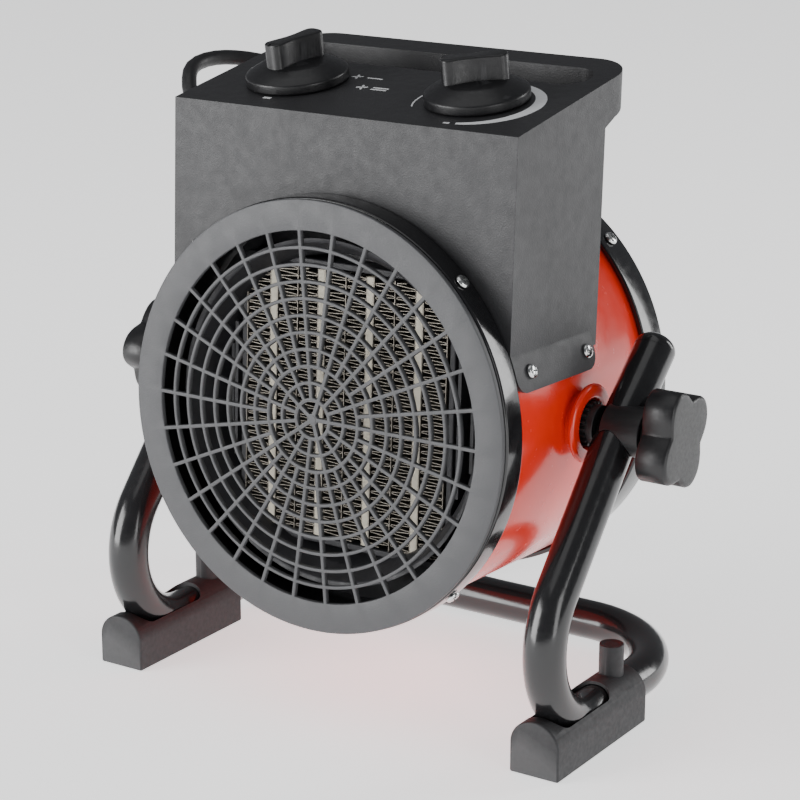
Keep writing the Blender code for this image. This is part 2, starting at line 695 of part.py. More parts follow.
def make_clamp(side, sign, twist, head, black, zinc, red):
    """One end of the cross pivot: boss, washer, bolt and the lobed clamp knob."""
    boss = rod("pivot_boss_" + side, BOSS_RADIUS, 0.0700, BOSS_FACE, "X", 24, 0.0010)
    mirror = (0, 0 if sign == 1 else math.pi, 0)
    place(boss, red, head, (0, 0, 0), mirror)
    combine(boss, bpy.data.objects["drum_room"], "DIFFERENCE")
    combine(boss, bpy.data.objects["pivot_way"], "DIFFERENCE")

    washer = band("pivot_washer_" + side, BOLT_RADIUS + SCREW_GAP, WASHER_RADIUS,
                  BOSS_FACE + GAP, ARM_X - TUBE_RADIUS - GAP, "X", 24)
    place(washer, black, head, (0, 0, 0), mirror)

    hub_start = SADDLE_END + GAP
    bolt_end = hub_start + 0.0050
    seat = DRUM_RADIUS - DRUM_WALL - 0.0012
    profile = [(0, bolt_end), (BOLT_RADIUS, bolt_end), (BOLT_RADIUS, seat),
               (BOLT_HEAD_RADIUS, seat), (BOLT_HEAD_RADIUS, seat - 0.0035), (0, seat - 0.0035)]
    place(turned("pivot_bolt_" + side, profile, "X", 16), zinc, head, (0, 0, 0), mirror)

    bm = bmesh.new()
    rows = [(0.0, hub_start), (0.0, CLAMP_LOBES_START), (0.92, CLAMP_LOBES_START),
            (1.0, CLAMP_LOBES_START + 0.0010), (1.0, CLAMP_FACE - 0.0015), (0.86, CLAMP_FACE)]
    rings = []
    for share, x in rows:
        rings.append([bm.verts.new((x, a, b)) for a, b in clamp_outline(share)])
    bm.faces.new(rings[0])
    bm.faces.new(rings[-1])
    for upper, lower in zip(rings, rings[1:]):
        for i in range(len(upper)):
            j = (i + 1) % len(upper)
            bm.faces.new((upper[i], upper[j], lower[j], lower[i]))
    knob = object_from(bm, "clamp_knob_" + side)
    place(knob, black, head)
    knob.matrix_basis = Matrix.Rotation(mirror[1], 4, "Z") @ Matrix.Rotation(twist, 4, "X")
    bolt_room = rod("bolt_room_" + side, BOLT_RADIUS + SCREW_GAP, 0.09, bolt_end + 0.001, "X", 16)
    place(bolt_room, None, head, (0, 0, 0), mirror)
    combine(knob, bolt_room, "DIFFERENCE")


# -------------------------------------------------------- heater, fan, motor

def make_ptc(head, plastic, ceramic, aluminium, zinc):
    """The heating block in its baffle, with the cut-out that guards it."""
    baffle = rod("ptc_frame", DRUM_RADIUS - DRUM_WALL - 0.0010, -0.0300, -0.0270, "Y", 48)
    place(baffle, plastic, head)
    wall = 0.0030
    sleeve = prism("ptc_sleeve", rounded_outline(PTC_HALF_WIDTH + wall, PTC_HALF_HEIGHT + wall, 0.003),
                   "Y", PTC_FRONT - 0.0010, -0.0200)
    place(sleeve, None, head)
    combine(baffle, sleeve, "UNION")
    window = block("ptc_window", (-PTC_HALF_WIDTH - GAP, -0.060, -PTC_HALF_HEIGHT - GAP),
                   (PTC_HALF_WIDTH + GAP, 0.0, PTC_HALF_HEIGHT + GAP))
    place(window, None, head)
    combine(baffle, window, "DIFFERENCE")

    middles = [PTC_BAR_STEP * (i - 1.5) for i in range(4)]
    for i, x in enumerate(middles):
        bar = block("ptc_bar_{}".format(i + 1),
                    (x - PTC_BAR_WIDTH / 2, PTC_FRONT, -PTC_HALF_HEIGHT),
                    (x + PTC_BAR_WIDTH / 2, PTC_BACK, PTC_HALF_HEIGHT))
        place(bar, ceramic, head)
    edges = [-PTC_HALF_WIDTH] + [x + s * (PTC_BAR_WIDTH / 2 + GAP)
                                 for x in middles for s in (-1, 1)] + [PTC_HALF_WIDTH]
    for i in range(len(middles) + 1):
        low, high = edges[2 * i], edges[2 * i + 1]
        pack = prism("fin_pack_{}".format(i + 1), fin_outline(low, high), "Y",
                     PTC_FRONT + 0.0005, PTC_BACK - 0.0005)
        place(pack, aluminium, head)

    cutout = rod("thermal_cutout", 0.0080, -0.0266, -0.0190, "Y", 20, 0.0006)
    place(cutout, zinc, head, (0, 0, PTC_HALF_HEIGHT + 0.0130))


def fin_outline(low, high):
    """One folded strip of aluminium seen from the front."""
    count = FIN_WAVES * 2
    pitch = (2 * PTC_HALF_HEIGHT - 0.002) / count
    start = -PTC_HALF_HEIGHT + 0.001
    left_run = []
    right_run = []
    for i in range(count + 1):
        z = start + i * pitch
        x = low if i % 2 == 0 else high - FIN_SHEET
        left_run.append((x, z))
        right_run.append((x + FIN_SHEET, z))
    return left_run + right_run[::-1]


def make_motor(head, steel):
    """The motor on its three-armed bracket."""
    bracket = rod("motor_bracket", MOTOR_RADIUS + 0.004, BRACKET_Y, BRACKET_Y + 0.002, "Y", 32)
    place(bracket, steel, head)
    reach = DRUM_RADIUS - DRUM_WALL - 0.0010
    arms = []
    for i in range(3):
        arm = block("arm_{}".format(i), (-0.0055, BRACKET_Y, 0.010),
                    (0.0055, BRACKET_Y + 0.002, reach - 0.0003))
        arm.matrix_basis = Matrix.Rotation(2 * math.pi * i / 3 + math.pi, 4, "Y")
        arms.append(arm)
    spider = place(joined("bracket_arms", arms), None, head)
    combine(bracket, spider, "UNION")
    shaft_way = rod("shaft_way", 0.0040, 0.0, 0.030, "Y", 20)
    place(shaft_way, None, head)
    combine(bracket, shaft_way, "DIFFERENCE")
    start = BRACKET_Y + 0.002 + GAP
    motor = turned("motor", [(0, MOTOR_BACK), (0.010, MOTOR_BACK), (0.010, MOTOR_BACK - 0.006),
                             (MOTOR_RADIUS, MOTOR_BACK - 0.006), (MOTOR_RADIUS, start + 0.003),
                             (0.010, start + 0.003), (0.010, start), (SHAFT_RADIUS + GAP, start),
                             (SHAFT_RADIUS + GAP, start + 0.016), (0, start + 0.016)], "Y", 24)
    place(motor, steel, head)



def make_fan(head, plastic, steel):
    """The axial fan on its shaft, turning about the drum's axis."""
    spot = empty("fan_axis", (0, 0, 0), (0, 0, 0), head)
    shaft_back = BRACKET_Y + 0.016
    shaft = rod("motor_shaft", SHAFT_RADIUS, FAN_FRONT - 0.002, shaft_back, "Y", 16)
    place(shaft, steel, spot)
    profile = [(SHAFT_RADIUS + GAP, FAN_BACK), (FAN_HUB_RADIUS, FAN_BACK),
               (FAN_HUB_RADIUS, FAN_FRONT + 0.002), (FAN_HUB_RADIUS - 0.002, FAN_FRONT),
               (SHAFT_RADIUS + GAP, FAN_FRONT)]
    rotor = turned("fan_rotor", profile, "Y", 24, ring=True)
    place(rotor, plastic, spot)
    blades = []
    for i in range(FAN_BLADES):
        outline = [(-0.006, FAN_HUB_RADIUS - 0.003), (0.006, FAN_HUB_RADIUS - 0.003),
                   (0.017, FAN_RADIUS - 0.006), (0.012, FAN_RADIUS), (-0.012, FAN_RADIUS),
                   (-0.017, FAN_RADIUS - 0.006)]
        blade = prism("blade_{}".format(i), outline, "Y", -0.0007, 0.0007)
        middle = (FAN_FRONT + FAN_BACK) / 2 + 0.0005
        blade.matrix_basis = (Matrix.Rotation(2 * math.pi * i / FAN_BLADES, 4, "Y")
                              @ Matrix.Translation((0, middle, 0))
                              @ Matrix.Rotation(math.radians(26), 4, "Z"))
        blades.append(blade)
    wheel = place(joined("fan_blades", blades), None, spot)
    combine(rotor, wheel, "UNION")


def make_controls(head, plastic, zinc):
    """The switch and thermostat under the panel, and the terminal block."""
    y = BOX_FRONT + KNOB_UP_SLOPE * math.cos(PANEL_SLOPE)
    depth = -BOX_WALL - 0.003 - GAP
    for name, sign, look, half in (("rotary_switch", -1, plastic, 0.014),
                                   ("thermostat", 1, zinc, 0.011)):
        body = block(name, (-half, -half, depth - 0.018), (half, half, depth))
        place(body, look, head, (sign * KNOB_X, y, panel_height(y)), (PANEL_SLOPE, 0, 0))
        soften(body, 0.001, 1)
    terminal = block("terminal_block", (-0.020, -0.010, 0.0830), (0.016, 0.004, 0.0920))
    place(terminal, plastic, head)
    soften(terminal, 0.0008, 1)


# ---------------------------------------------------------------------- cord

def smooth_route(points, spacing):
    """Points about evenly spaced on a smooth curve through the given ones."""
    dense = []
    padded = [points[0] * 2 - points[1]] + points + [points[-1] * 2 - points[-2]]
    for a, b, c, d in zip(padded, padded[1:], padded[2:], padded[3:]):
        for i in range(24):
            t = i / 24
            dense.append(0.5 * ((2 * b) + (c - a) * t + (2 * a - 5 * b + 4 * c - d) * t * t
                                + (3 * b - a - 3 * c + d) * t ** 3))
    dense.append(points[-1])
    lengths = [0.0]
    for a, b in zip(dense, dense[1:]):
        lengths.append(lengths[-1] + (b - a).length)
    count = round(lengths[-1] / spacing)
    route = []
    k = 0
    for i in range(count + 1):
        goal = lengths[-1] * i / count
        while k < len(lengths) - 2 and lengths[k + 1] < goal:
            k += 1
        share = (goal - lengths[k]) / (lengths[k + 1] - lengths[k])
        route.append(dense[k].lerp(dense[k + 1], share))
    return route


def cord_points(exit_point, along):
    """The free cord from the gland, round its loop, down to the floor and to the coil."""
    route = [(-0.0595, 0.0755, 0.1993), (-0.0745, 0.0850, 0.2070), (-0.0935, 0.0800, 0.2180),
             (-0.1105, 0.0655, 0.2265), (-0.1212, 0.0495, 0.2298), (-0.1238, 0.0340, 0.2285),
             (-0.1172, 0.0212, 0.2235), (-0.1100, 0.0155, 0.2122), (-0.1062, 0.0155, 0.1960),
             (-0.1065, 0.0210, 0.1760), (-0.1095, 0.0315, 0.1540), (-0.1120, 0.0420, 0.1250),
             (-0.1140, 0.0530, 0.0920), (-0.1170, 0.0640, 0.0640), (-0.1195, 0.0760, 0.0360),
             (-0.1165, 0.0830, 0.0150), (-0.1070, 0.0846, 0.0050), (-0.0960, 0.0845, 0.0034)]
    start = [exit_point, exit_point + along * 0.0125]
    return start + [Vector(p) for p in route]


def make_cord(ground, head, rubber):
    """The free lead, the wound-up rest of it and the plug."""
    lean = Matrix.Rotation(-REST_LEAN, 3, "X")
    along = lean @ Vector((0, 1, 0))
    exit_point = (Vector((0, 0, PIVOT_Z))
                  + lean @ Vector((GLAND_X, GLAND_END + 2 * GAP, GLAND_Z)))
    route = smooth_route(cord_points(exit_point, along), 0.0125)
    lead = tube("cord_tube", route, CORD_RADIUS, 2)
    place(lead, rubber, ground)

    inner = COIL_TURN_RADIUS - 2 * CORD_RADIUS - GAP
    outer = COIL_TURN_RADIUS + 2 * CORD_RADIUS + GAP
    top = 2 * CORD_RADIUS * COIL_LAYERS
    edge = CORD_RADIUS * 0.7
    profile = [(inner + edge, top), (outer - edge, top), (outer, top - edge), (outer, edge),
               (outer - edge, 0.0002), (inner + edge, 0.0002), (inner, edge), (inner, top - edge)]
    coil = turned("cord_coil", profile, "Z", 28, ring=True)
    place(coil, rubber, ground, (*COIL_CENTRE, 0))

    shape = [(0, 0.066), (PLUG_RADIUS - 0.001, 0.066), (PLUG_RADIUS, 0.065), (PLUG_RADIUS, 0.052),
             (0.0150, 0.044), (0.0135, 0.036), (0.0110, 0.027), (0.0055, 0.024),
             (0.0042, 0), (0, 0)]
    plug = turned("plug", shape, "X", 20)
    pins = [rod("pin_{}".format(i), 0.0024, 0.060, 0.084, "X", 12, 0.0006) for i in range(2)]
    for sign, pin in zip((-1, 1), pins):
        pin.matrix_basis = Matrix.Translation((0, sign * 0.0095, 0))
    pin_pair = place(joined("plug_pins", pins), None, ground)
    spot = (COIL_CENTRE[0] - 0.0240, COIL_CENTRE[1] + COIL_TURN_RADIUS + 0.0085, PLUG_RADIUS + 0.0002)
    for piece in (plug, pin_pair):
        piece.parent = ground
        piece.location = spot
        piece.rotation_euler = (0, 0, math.pi)
    plug.data.materials.append(rubber)
    combine(plug, pin_pair, "UNION")


# ---------------------------------------------------------------------- main

def main():
    """Build the heater."""
    for old in list(bpy.data.objects):
        bpy.data.objects.remove(old, do_unlink=True)

    red = material("red_enamel", (0.72, 0.022, 0.008), 0.18)
    charcoal = material("charcoal_textured_plastic", (0.030, 0.031, 0.033), 0.55)
    black = material("black_plastic", (0.012, 0.012, 0.013), 0.42)
    grey = material("grey_matte_plastic", (0.085, 0.088, 0.092), 0.62)
    dark = material("dark_grey_plastic", (0.03, 0.03, 0.032), 0.55)
    steel = material("black_coated_steel", (0.02, 0.02, 0.021), 0.35)
    bright = material("zinc", (0.55, 0.55, 0.56), 0.32, 1.0)
    aluminium = material("aluminium", (0.62, 0.63, 0.64), 0.38, 1.0)
    ceramic = material("cream_ceramic", (0.72, 0.68, 0.58), 0.6)
    rubber = material("black_rubber", (0.016, 0.016, 0.017), 0.6)

    ground = empty("ground", (0, SHIFT_Y, 0))
    head = empty("head", (0, 0, PIVOT_Z), (-REST_LEAN, 0, 0), ground)

    make_stand(ground, steel, rubber, black)
    shell = make_drum(head, red, black, grey, bright)
    make_housing(head, shell, charcoal, bright)
    make_gland(head, rubber)
    make_panel_knob("selector_knob", -1, SELECTOR_TURN, head, black)
    make_panel_knob("thermostat_knob", 1, THERMOSTAT_TURN, head, black)
    make_clamp("right", 1, CLAMP_TWIST_RIGHT, head, black, bright, red)
    make_clamp("left", -1, CLAMP_TWIST_LEFT, head, black, bright, red)
    make_ptc(head, dark, ceramic, aluminium, bright)
    make_motor(head, bright)
    make_fan(head, dark, bright)
    make_controls(head, dark, bright)
    make_cord(ground, head, rubber)


main()
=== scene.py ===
"""Looks of the tilting ceramic fan heater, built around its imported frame.

Lengths are in metres. The head's pieces are made in the head's own frame: the
drum's axis along Y, the cross pivot at the origin, the front towards -Y.
HEAD takes that frame to its place; GROUND takes the stand's frame to its place.
"""

import json
import math

import bmesh
import bpy
import numpy as np
from mathutils import Matrix, Vector


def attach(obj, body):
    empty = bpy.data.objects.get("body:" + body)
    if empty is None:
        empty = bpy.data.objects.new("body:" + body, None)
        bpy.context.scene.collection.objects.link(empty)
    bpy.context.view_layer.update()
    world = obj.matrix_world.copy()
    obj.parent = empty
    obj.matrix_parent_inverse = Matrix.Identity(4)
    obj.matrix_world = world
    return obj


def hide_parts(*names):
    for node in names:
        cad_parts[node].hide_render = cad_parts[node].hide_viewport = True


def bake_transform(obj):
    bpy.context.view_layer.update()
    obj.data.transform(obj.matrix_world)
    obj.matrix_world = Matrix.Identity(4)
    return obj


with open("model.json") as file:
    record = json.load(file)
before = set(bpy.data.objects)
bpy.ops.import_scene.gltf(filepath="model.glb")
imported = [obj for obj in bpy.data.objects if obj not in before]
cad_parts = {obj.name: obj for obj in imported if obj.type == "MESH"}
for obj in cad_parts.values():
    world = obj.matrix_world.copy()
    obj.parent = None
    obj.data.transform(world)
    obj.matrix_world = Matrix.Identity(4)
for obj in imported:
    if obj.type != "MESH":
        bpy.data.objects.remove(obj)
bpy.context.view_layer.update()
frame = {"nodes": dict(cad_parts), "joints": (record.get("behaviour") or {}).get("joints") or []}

JOINTS = {joint["name"]: joint for joint in frame["joints"]}
PIVOT = Vector(JOINTS["head_tilt"]["pos_m"])
DRUM_AXIS = Vector(JOINTS["fan_spin"]["axis"])
LEAN = math.atan2(DRUM_AXIS.z, DRUM_AXIS.y)
HEAD = Matrix.Translation(PIVOT) @ Matrix.Rotation(LEAN, 4, "X")
GROUND = Matrix.Translation((0, PIVOT.y, 0))
MM = 0.001
GAP = 0.3 * MM


def local_box(node, home):
    """A CAD node's lowest and highest corners in the head's or the stand's frame."""
    back = home.inverted()
    spots = np.array([back @ v.co for v in frame["nodes"][node].data.vertices])
    return Vector(spots.min(0)), Vector(spots.max(0))


# ------------------------------------------------------------ camera and light

def make_camera():
    """A long lens from the right front, a little above the heater."""
    camera = bpy.data.objects.new("camera", bpy.data.cameras.new("camera"))
    bpy.context.scene.collection.objects.link(camera)
    camera.location = (0.52207, -0.79935 + PIVOT.y, 0.39695)
    camera.rotation_euler = (math.radians(90 - 16.57), 0, math.radians(33.18))
    camera.data.sensor_width = 36
    camera.data.lens = 115.15
    camera.data.clip_start = 0.01
    bpy.context.scene.camera = camera


def make_light(name, place, target, size, power, colour=(1, 1, 1)):
    """A square softbox that looks at a point."""
    data = bpy.data.lights.new(name, "AREA")
    data.shape = "RECTANGLE"
    data.size, data.size_y = size
    data.energy = power
    data.color = colour
    light = bpy.data.objects.new(name, data)
    bpy.context.scene.collection.objects.link(light)
    light.location = place
    aim = Vector(target) - Vector(place)
    light.rotation_euler = aim.to_track_quat("-Z", "Y").to_euler()


def make_studio():
    """Pale floor, dim surroundings and softboxes."""
    world = bpy.data.worlds.new("studio")
    bpy.context.scene.world = world
    world.use_nodes = True
    background = world.node_tree.nodes["Background"]
    background.inputs["Color"].default_value = (0.93, 0.95, 1.0, 1)
    background.inputs["Strength"].default_value = 0.17
    target = (0, 0, 0.12)
    make_light("key_left", (-0.95, -1.25, 0.42), target, (0.9, 0.9), 24)
    make_light("rim_right", (0.95, 1.20, 0.55), target, (0.4, 0.9), 8)
    make_light("fill_right", (1.3, -0.5, 0.35), target, (0.4, 1.0), 5)
    make_light("overhead", (-0.2, -0.3, 1.7), target, (1.6, 1.6), 6)

    bm = bmesh.new()
    bmesh.ops.create_grid(bm, x_segments=1, y_segments=1, size=30)
    mesh = bpy.data.meshes.new("studio_floor")
    bm.to_mesh(mesh)
    bm.free()
    floor = bpy.data.objects.new("studio_floor", mesh)
    bpy.context.scene.collection.objects.link(floor)
    floor.location.z = -0.2 * MM
    look = bpy.data.materials.new("floor_paper")
    look.use_nodes = True
    shader = look.node_tree.nodes["Principled BSDF"]
    shader.inputs["Base Color"].default_value = (0.92, 0.92, 0.92, 1)
    shader.inputs["Roughness"].default_value = 0.85
    shader.inputs["Specular IOR Level"].default_value = 0.2
    shader.inputs["Emission Color"].default_value = (1, 1, 1, 1)
    shader.inputs["Emission Strength"].default_value = 1.1
    mesh.materials.append(look)


# ------------------------------------------------------------------- materials

def node_in(tree, kind, **values):
    """A shader node with some of its inputs or settings filled in."""
    node = tree.nodes.new(kind)
    for name, value in values.items():
        socket = node.inputs.get(name.replace("_", " "))
        if socket is not None:
            socket.default_value = value
        else:
            setattr(node, name, value)
    return node


def ranged(tree, source, low, high, start=0.3, stop=0.7):
    """Map a texture's middle values to a range."""
    node = node_in(tree, "ShaderNodeMapRange")
    node.inputs["From Min"].default_value = start
    node.inputs["From Max"].default_value = stop
    node.inputs["To Min"].default_value = low
    node.inputs["To Max"].default_value = high
    tree.links.new(source, node.inputs["Value"])
    return node.outputs["Result"]


def surface(name, colour, roughness, metallic=0.0, spread=0.08, mottle=0.12, patch=60,
            grain=(), streak=None, edge=None, coat=0.0, coat_roughness=0.05, specular=0.5):
    """A procedural finish.

    spread: how much the roughness wanders. mottle: how much the colour wanders,
    patch: how many such patches there are per metre. grain: (kind, per metre,
    depth in metres) for each layer of surface relief. streak: (x, y, z) scale that
    draws the grain out along one axis. edge: a lighter colour worn onto edges.
    """
    look = bpy.data.materials.new(name)
    look.use_nodes = True
    tree = look.node_tree
    shader = tree.nodes["Principled BSDF"]
    shader.inputs["Metallic"].default_value = metallic
    shader.inputs["Specular IOR Level"].default_value = specular
    shader.inputs["Coat Weight"].default_value = coat
    shader.inputs["Coat Roughness"].default_value = coat_roughness
    where = tree.nodes.new("ShaderNodeTexCoord").outputs["Object"]

    broad = node_in(tree, "ShaderNodeTexNoise", Scale=patch, Detail=5.0, Roughness=0.6)
    tree.links.new(where, broad.inputs["Vector"])
    mix = node_in(tree, "ShaderNodeMix", data_type="RGBA")
    mix.inputs["A"].default_value = (*[c * (1 - mottle) for c in colour], 1)
    mix.inputs["B"].default_value = (*[min(1, c * (1 + mottle)) for c in colour], 1)
    tree.links.new(ranged(tree, broad.outputs["Fac"], 0, 1), mix.inputs["Factor"])
    tint = mix.outputs["Result"]
    if edge:
        shape = tree.nodes.new("ShaderNodeNewGeometry")
        worn = node_in(tree, "ShaderNodeMix", data_type="RGBA")
        worn.inputs["B"].default_value = (*edge, 1)
        tree.links.new(tint, worn.inputs["A"])
        rub = ranged(tree, shape.outputs["Pointiness"], 0.0, 0.8, 0.53, 0.62)
        tree.links.new(rub, worn.inputs["Factor"])
        tint = worn.outputs["Result"]
    tree.links.new(tint, shader.inputs["Base Color"])

    fine = node_in(tree, "ShaderNodeTexNoise", Scale=patch * 7, Detail=3.0, Roughness=0.55)
    tree.links.new(where, fine.inputs["Vector"])
    low = max(0.02, roughness - spread)
    tree.links.new(ranged(tree, fine.outputs["Fac"], low, roughness + spread),
                   shader.inputs["Roughness"])

    normal = None
    spot = where
    if streak:
        stretch = node_in(tree, "ShaderNodeMapping")
        stretch.inputs["Scale"].default_value = streak
        tree.links.new(where, stretch.inputs["Vector"])
        spot = stretch.outputs["Vector"]
    for kind, per_metre, depth in grain:
        if kind == "cells":
            relief = node_in(tree, "ShaderNodeTexVoronoi", Scale=per_metre)
            height = relief.outputs["Distance"]
        else:
            relief = node_in(tree, "ShaderNodeTexNoise", Scale=per_metre, Detail=2.0)
            height = relief.outputs["Fac"]
        tree.links.new(spot, relief.inputs["Vector"])
        bump = node_in(tree, "ShaderNodeBump", Strength=1.0, Distance=depth)
        tree.links.new(height, bump.inputs["Height"])
        if normal is not None:
            tree.links.new(normal, bump.inputs["Normal"])
        normal = bump.outputs["Normal"]
    if normal is not None:
        tree.links.new(normal, shader.inputs["Normal"])
    return look


def make_looks():
    """Every finish on the heater."""
    moulded = (("cells", 1500, 0.05 * MM), ("noise", 5200, 0.02 * MM))
    return {
        "housing": surface("charcoal_moulded", (0.024, 0.024, 0.026), 0.50, spread=0.05,
                           mottle=0.07, patch=35, grain=moulded, edge=(0.05, 0.05, 0.053)),
        "face": surface("grey_moulded", (0.074, 0.075, 0.079), 0.52, spread=0.05,
                        mottle=0.05, patch=30, grain=moulded),
        "rim": surface("black_gloss_band", (0.010, 0.010, 0.011), 0.16, spread=0.05,
                       mottle=0.2, patch=40, grain=(("noise", 900, 0.01 * MM),), coat=0.3),
        "enamel": surface("red_enamel", (0.80, 0.024, 0.006), 0.24, spread=0.04, mottle=0.04,
                          patch=25, grain=(("noise", 420, 0.015 * MM),), coat=0.25,
                          coat_roughness=0.10),
        "tube": surface("black_tube_coat", (0.013, 0.013, 0.014), 0.20, spread=0.06, mottle=0.2,
                        patch=45, grain=(("noise", 700, 0.02 * MM),), coat=0.35,
                        coat_roughness=0.12),
        "foot": surface("foot_rubber", (0.024, 0.024, 0.026), 0.58, spread=0.08, mottle=0.12,
                        patch=70, grain=(("noise", 2600, 0.05 * MM),), edge=(0.07, 0.07, 0.072)),
        "knob": surface("black_knob", (0.009, 0.009, 0.010), 0.36, spread=0.08, mottle=0.15,
                        patch=90, grain=(("cells", 2600, 0.02 * MM),), edge=(0.03, 0.03, 0.032)),
        "plain": surface("black_plastic", (0.016, 0.016, 0.017), 0.40, spread=0.08, mottle=0.15,
                         patch=90, grain=(("noise", 2200, 0.03 * MM),)),
        "duct": surface("duct_plastic", (0.036, 0.036, 0.040), 0.50, spread=0.08, mottle=0.12,
                        patch=60, grain=(("noise", 1600, 0.04 * MM),)),
        "zinc": surface("zinc_plate", (0.72, 0.73, 0.72), 0.20, metallic=1.0, spread=0.09,
                        mottle=0.12, patch=400, grain=(("noise", 2500, 0.01 * MM),)),
        "steel": surface("rolled_steel", (0.42, 0.42, 0.43), 0.34, metallic=1.0, spread=0.10,
                         mottle=0.18, patch=120, grain=(("noise", 500, 0.01 * MM),),
                         streak=(1, 12, 1)),
        "fins": surface("fin_aluminium", (0.24, 0.22, 0.19), 0.45, metallic=0.9, spread=0.12,
                        mottle=0.25, patch=260, grain=(("noise", 1800, 0.02 * MM),)),
        "ceramic": surface("ptc_ceramic", (0.78, 0.72, 0.58), 0.55, spread=0.1, mottle=0.14,
                           patch=150, grain=(("noise", 1500, 0.04 * MM),)),
        "lead": surface("lead_rubber", (0.014, 0.014, 0.015), 0.46, spread=0.08, mottle=0.15,
                        patch=80, grain=(("noise", 1800, 0.03 * MM),)),
        "ink": surface("white_ink", (0.80, 0.81, 0.82), 0.50, spread=0.08, mottle=0.05,
                       patch=300, grain=(("noise", 4000, 0.01 * MM),)),
        "copper": surface("copper_winding", (0.62, 0.24, 0.10), 0.34, metallic=1.0, spread=0.1,
                          mottle=0.2, patch=400, grain=(("noise", 3000, 0.03 * MM),),
                          streak=(1, 1, 6)),
    }


# ---------------------------------------------------------------- mesh helpers

TURN_TO = {
    "Z": Matrix.Identity(4),
    "Y": Matrix.Rotation(-math.pi / 2, 4, "X"),
    "X": Matrix.Rotation(math.pi / 2, 4, "Y"),
}


def in_mm(*points):
    """Points given in millimetres, as a list of points in metres."""
    return [tuple(value * MM for value in point) for point in points]


def object_from(bm, name, sharp=35):
    """Turn a bmesh into an object with outward faces, smooth but for its sharp edges."""
    bmesh.ops.recalc_face_normals(bm, faces=bm.faces)
    mesh = bpy.data.meshes.new(name)
    bm.to_mesh(mesh)
    bm.free()
    made = bpy.data.objects.new(name, mesh)
    bpy.context.scene.collection.objects.link(made)
    return shaded(made, sharp)


def shaded(piece, sharp=35):
    """Shade smooth, with edges sharper than the given degrees left crisp."""
    piece.data.shade_smooth()
    piece.data.set_sharp_from_angle(angle=math.radians(sharp))
    return piece


def applied(piece):
    """Bake a piece's modifiers into its mesh."""
    bpy.context.view_layer.update()
    graph = bpy.context.evaluated_depsgraph_get()
    mesh = bpy.data.meshes.new_from_object(piece.evaluated_get(graph))
    old = piece.data
    piece.modifiers.clear()
    piece.data = mesh
    bpy.data.meshes.remove(old)
    mesh.name = piece.name
    return piece


def combined(piece, tool, operation, keep=False):
    """Weld a tool onto a piece, cut it out or keep what they share."""
    boolean = piece.modifiers.new("boolean", "BOOLEAN")
    boolean.operation = operation
    boolean.solver = "EXACT"
    boolean.object = tool
    applied(piece)
    if not keep:
        bpy.data.objects.remove(tool)
    return shaded(piece)


def softened(piece, width, segments=3, angle=40, even=True):
    """Round a piece's sharp edges and keep its flats looking flat."""
    bevel = piece.modifiers.new("bevel", "BEVEL")
    bevel.width = width
    bevel.segments = segments
    bevel.limit_method = "ANGLE"
    bevel.angle_limit = math.radians(angle)
    bevel.harden_normals = False
    applied(piece)
    shaded(piece, 60)
    if even:
        level = piece.modifiers.new("level", "WEIGHTED_NORMAL")
        level.keep_sharp = True
        level.weight = 60
        applied(piece)
    return piece


def turned(name, profile, axis="Z", segments=96, ring=False, sharp=35):
    """Turn (radius, height) points about an axis; a ring's profile closes on itself."""
    bm = bmesh.new()
    rows = []
    for radius, height in profile:
        count = 1 if radius == 0 else segments
        rows.append([bm.verts.new((radius * math.cos(2 * math.pi * i / segments),
                                   radius * math.sin(2 * math.pi * i / segments), height))
                     for i in range(count)])
    pairs = list(zip(rows, rows[1:]))
    if ring:
        pairs.append((rows[-1], rows[0]))
    for upper, lower in pairs:
        for i in range(segments):
            j = (i + 1) % segments
            corners = [upper[j % len(upper)], upper[i % len(upper)],
                       lower[i % len(lower)], lower[j % len(lower)]]
            distinct = list(dict.fromkeys(corners))
            if len(distinct) > 2:
                bm.faces.new(distinct)
    bm.transform(TURN_TO[axis])
    return object_from(bm, name, sharp)


def rounded(profile, radius, steps=3, ring=False):
    """Give a (radius, height) profile's corners a small fillet."""
    points = [Vector(p) for p in profile]
    result = []
    count = len(points)
    for i, here in enumerate(points):
        if not ring and i in (0, count - 1):
            result.append(tuple(here))
            continue
        before = points[i - 1] - here
        after = points[(i + 1) % count] - here
        reach = min(radius, before.length * 0.45, after.length * 0.45)
        start = here + before.normalized() * reach
        stop = here + after.normalized() * reach
        for k in range(steps + 1):
            t = k / steps
            result.append(tuple(start.lerp(here, t).lerp(here.lerp(stop, t), t)))
    return result


def prism(name, outline, axis, low, high, sharp=35):
    """Extrude an outline along an axis; its points are in the other two axes, in order."""
    order = {"X": (2, 0, 1), "Y": (0, 2, 1), "Z": (0, 1, 2)}[axis]
    bm = bmesh.new()
    ends = []
    for level in (low, high):
        spots = [(a, b, level) for a, b in outline]
        ends.append([bm.verts.new([spot[k] for k in order]) for spot in spots])
    bm.faces.new(ends[0])
    bm.faces.new(ends[1])
    count = len(outline)
    for i in range(count):
        j = (i + 1) % count
        bm.faces.new((ends[0][i], ends[0][j], ends[1][j], ends[1][i]))
    return object_from(bm, name, sharp)


def block(name, low, high):
    """A box between two corners."""
    outline = [(low[0], low[1]), (high[0], low[1]), (high[0], high[1]), (low[0], high[1])]
    return prism(name, outline, "Z", low[2], high[2])


def arc(centre, radius, start, stop, steps):
    """Points of a circular arc in a plane, angles in degrees."""
    points = []
    for i in range(steps + 1):
        angle = math.radians(start + (stop - start) * i / steps)
        points.append((centre[0] + radius * math.cos(angle), centre[1] + radius * math.sin(angle)))
    return points


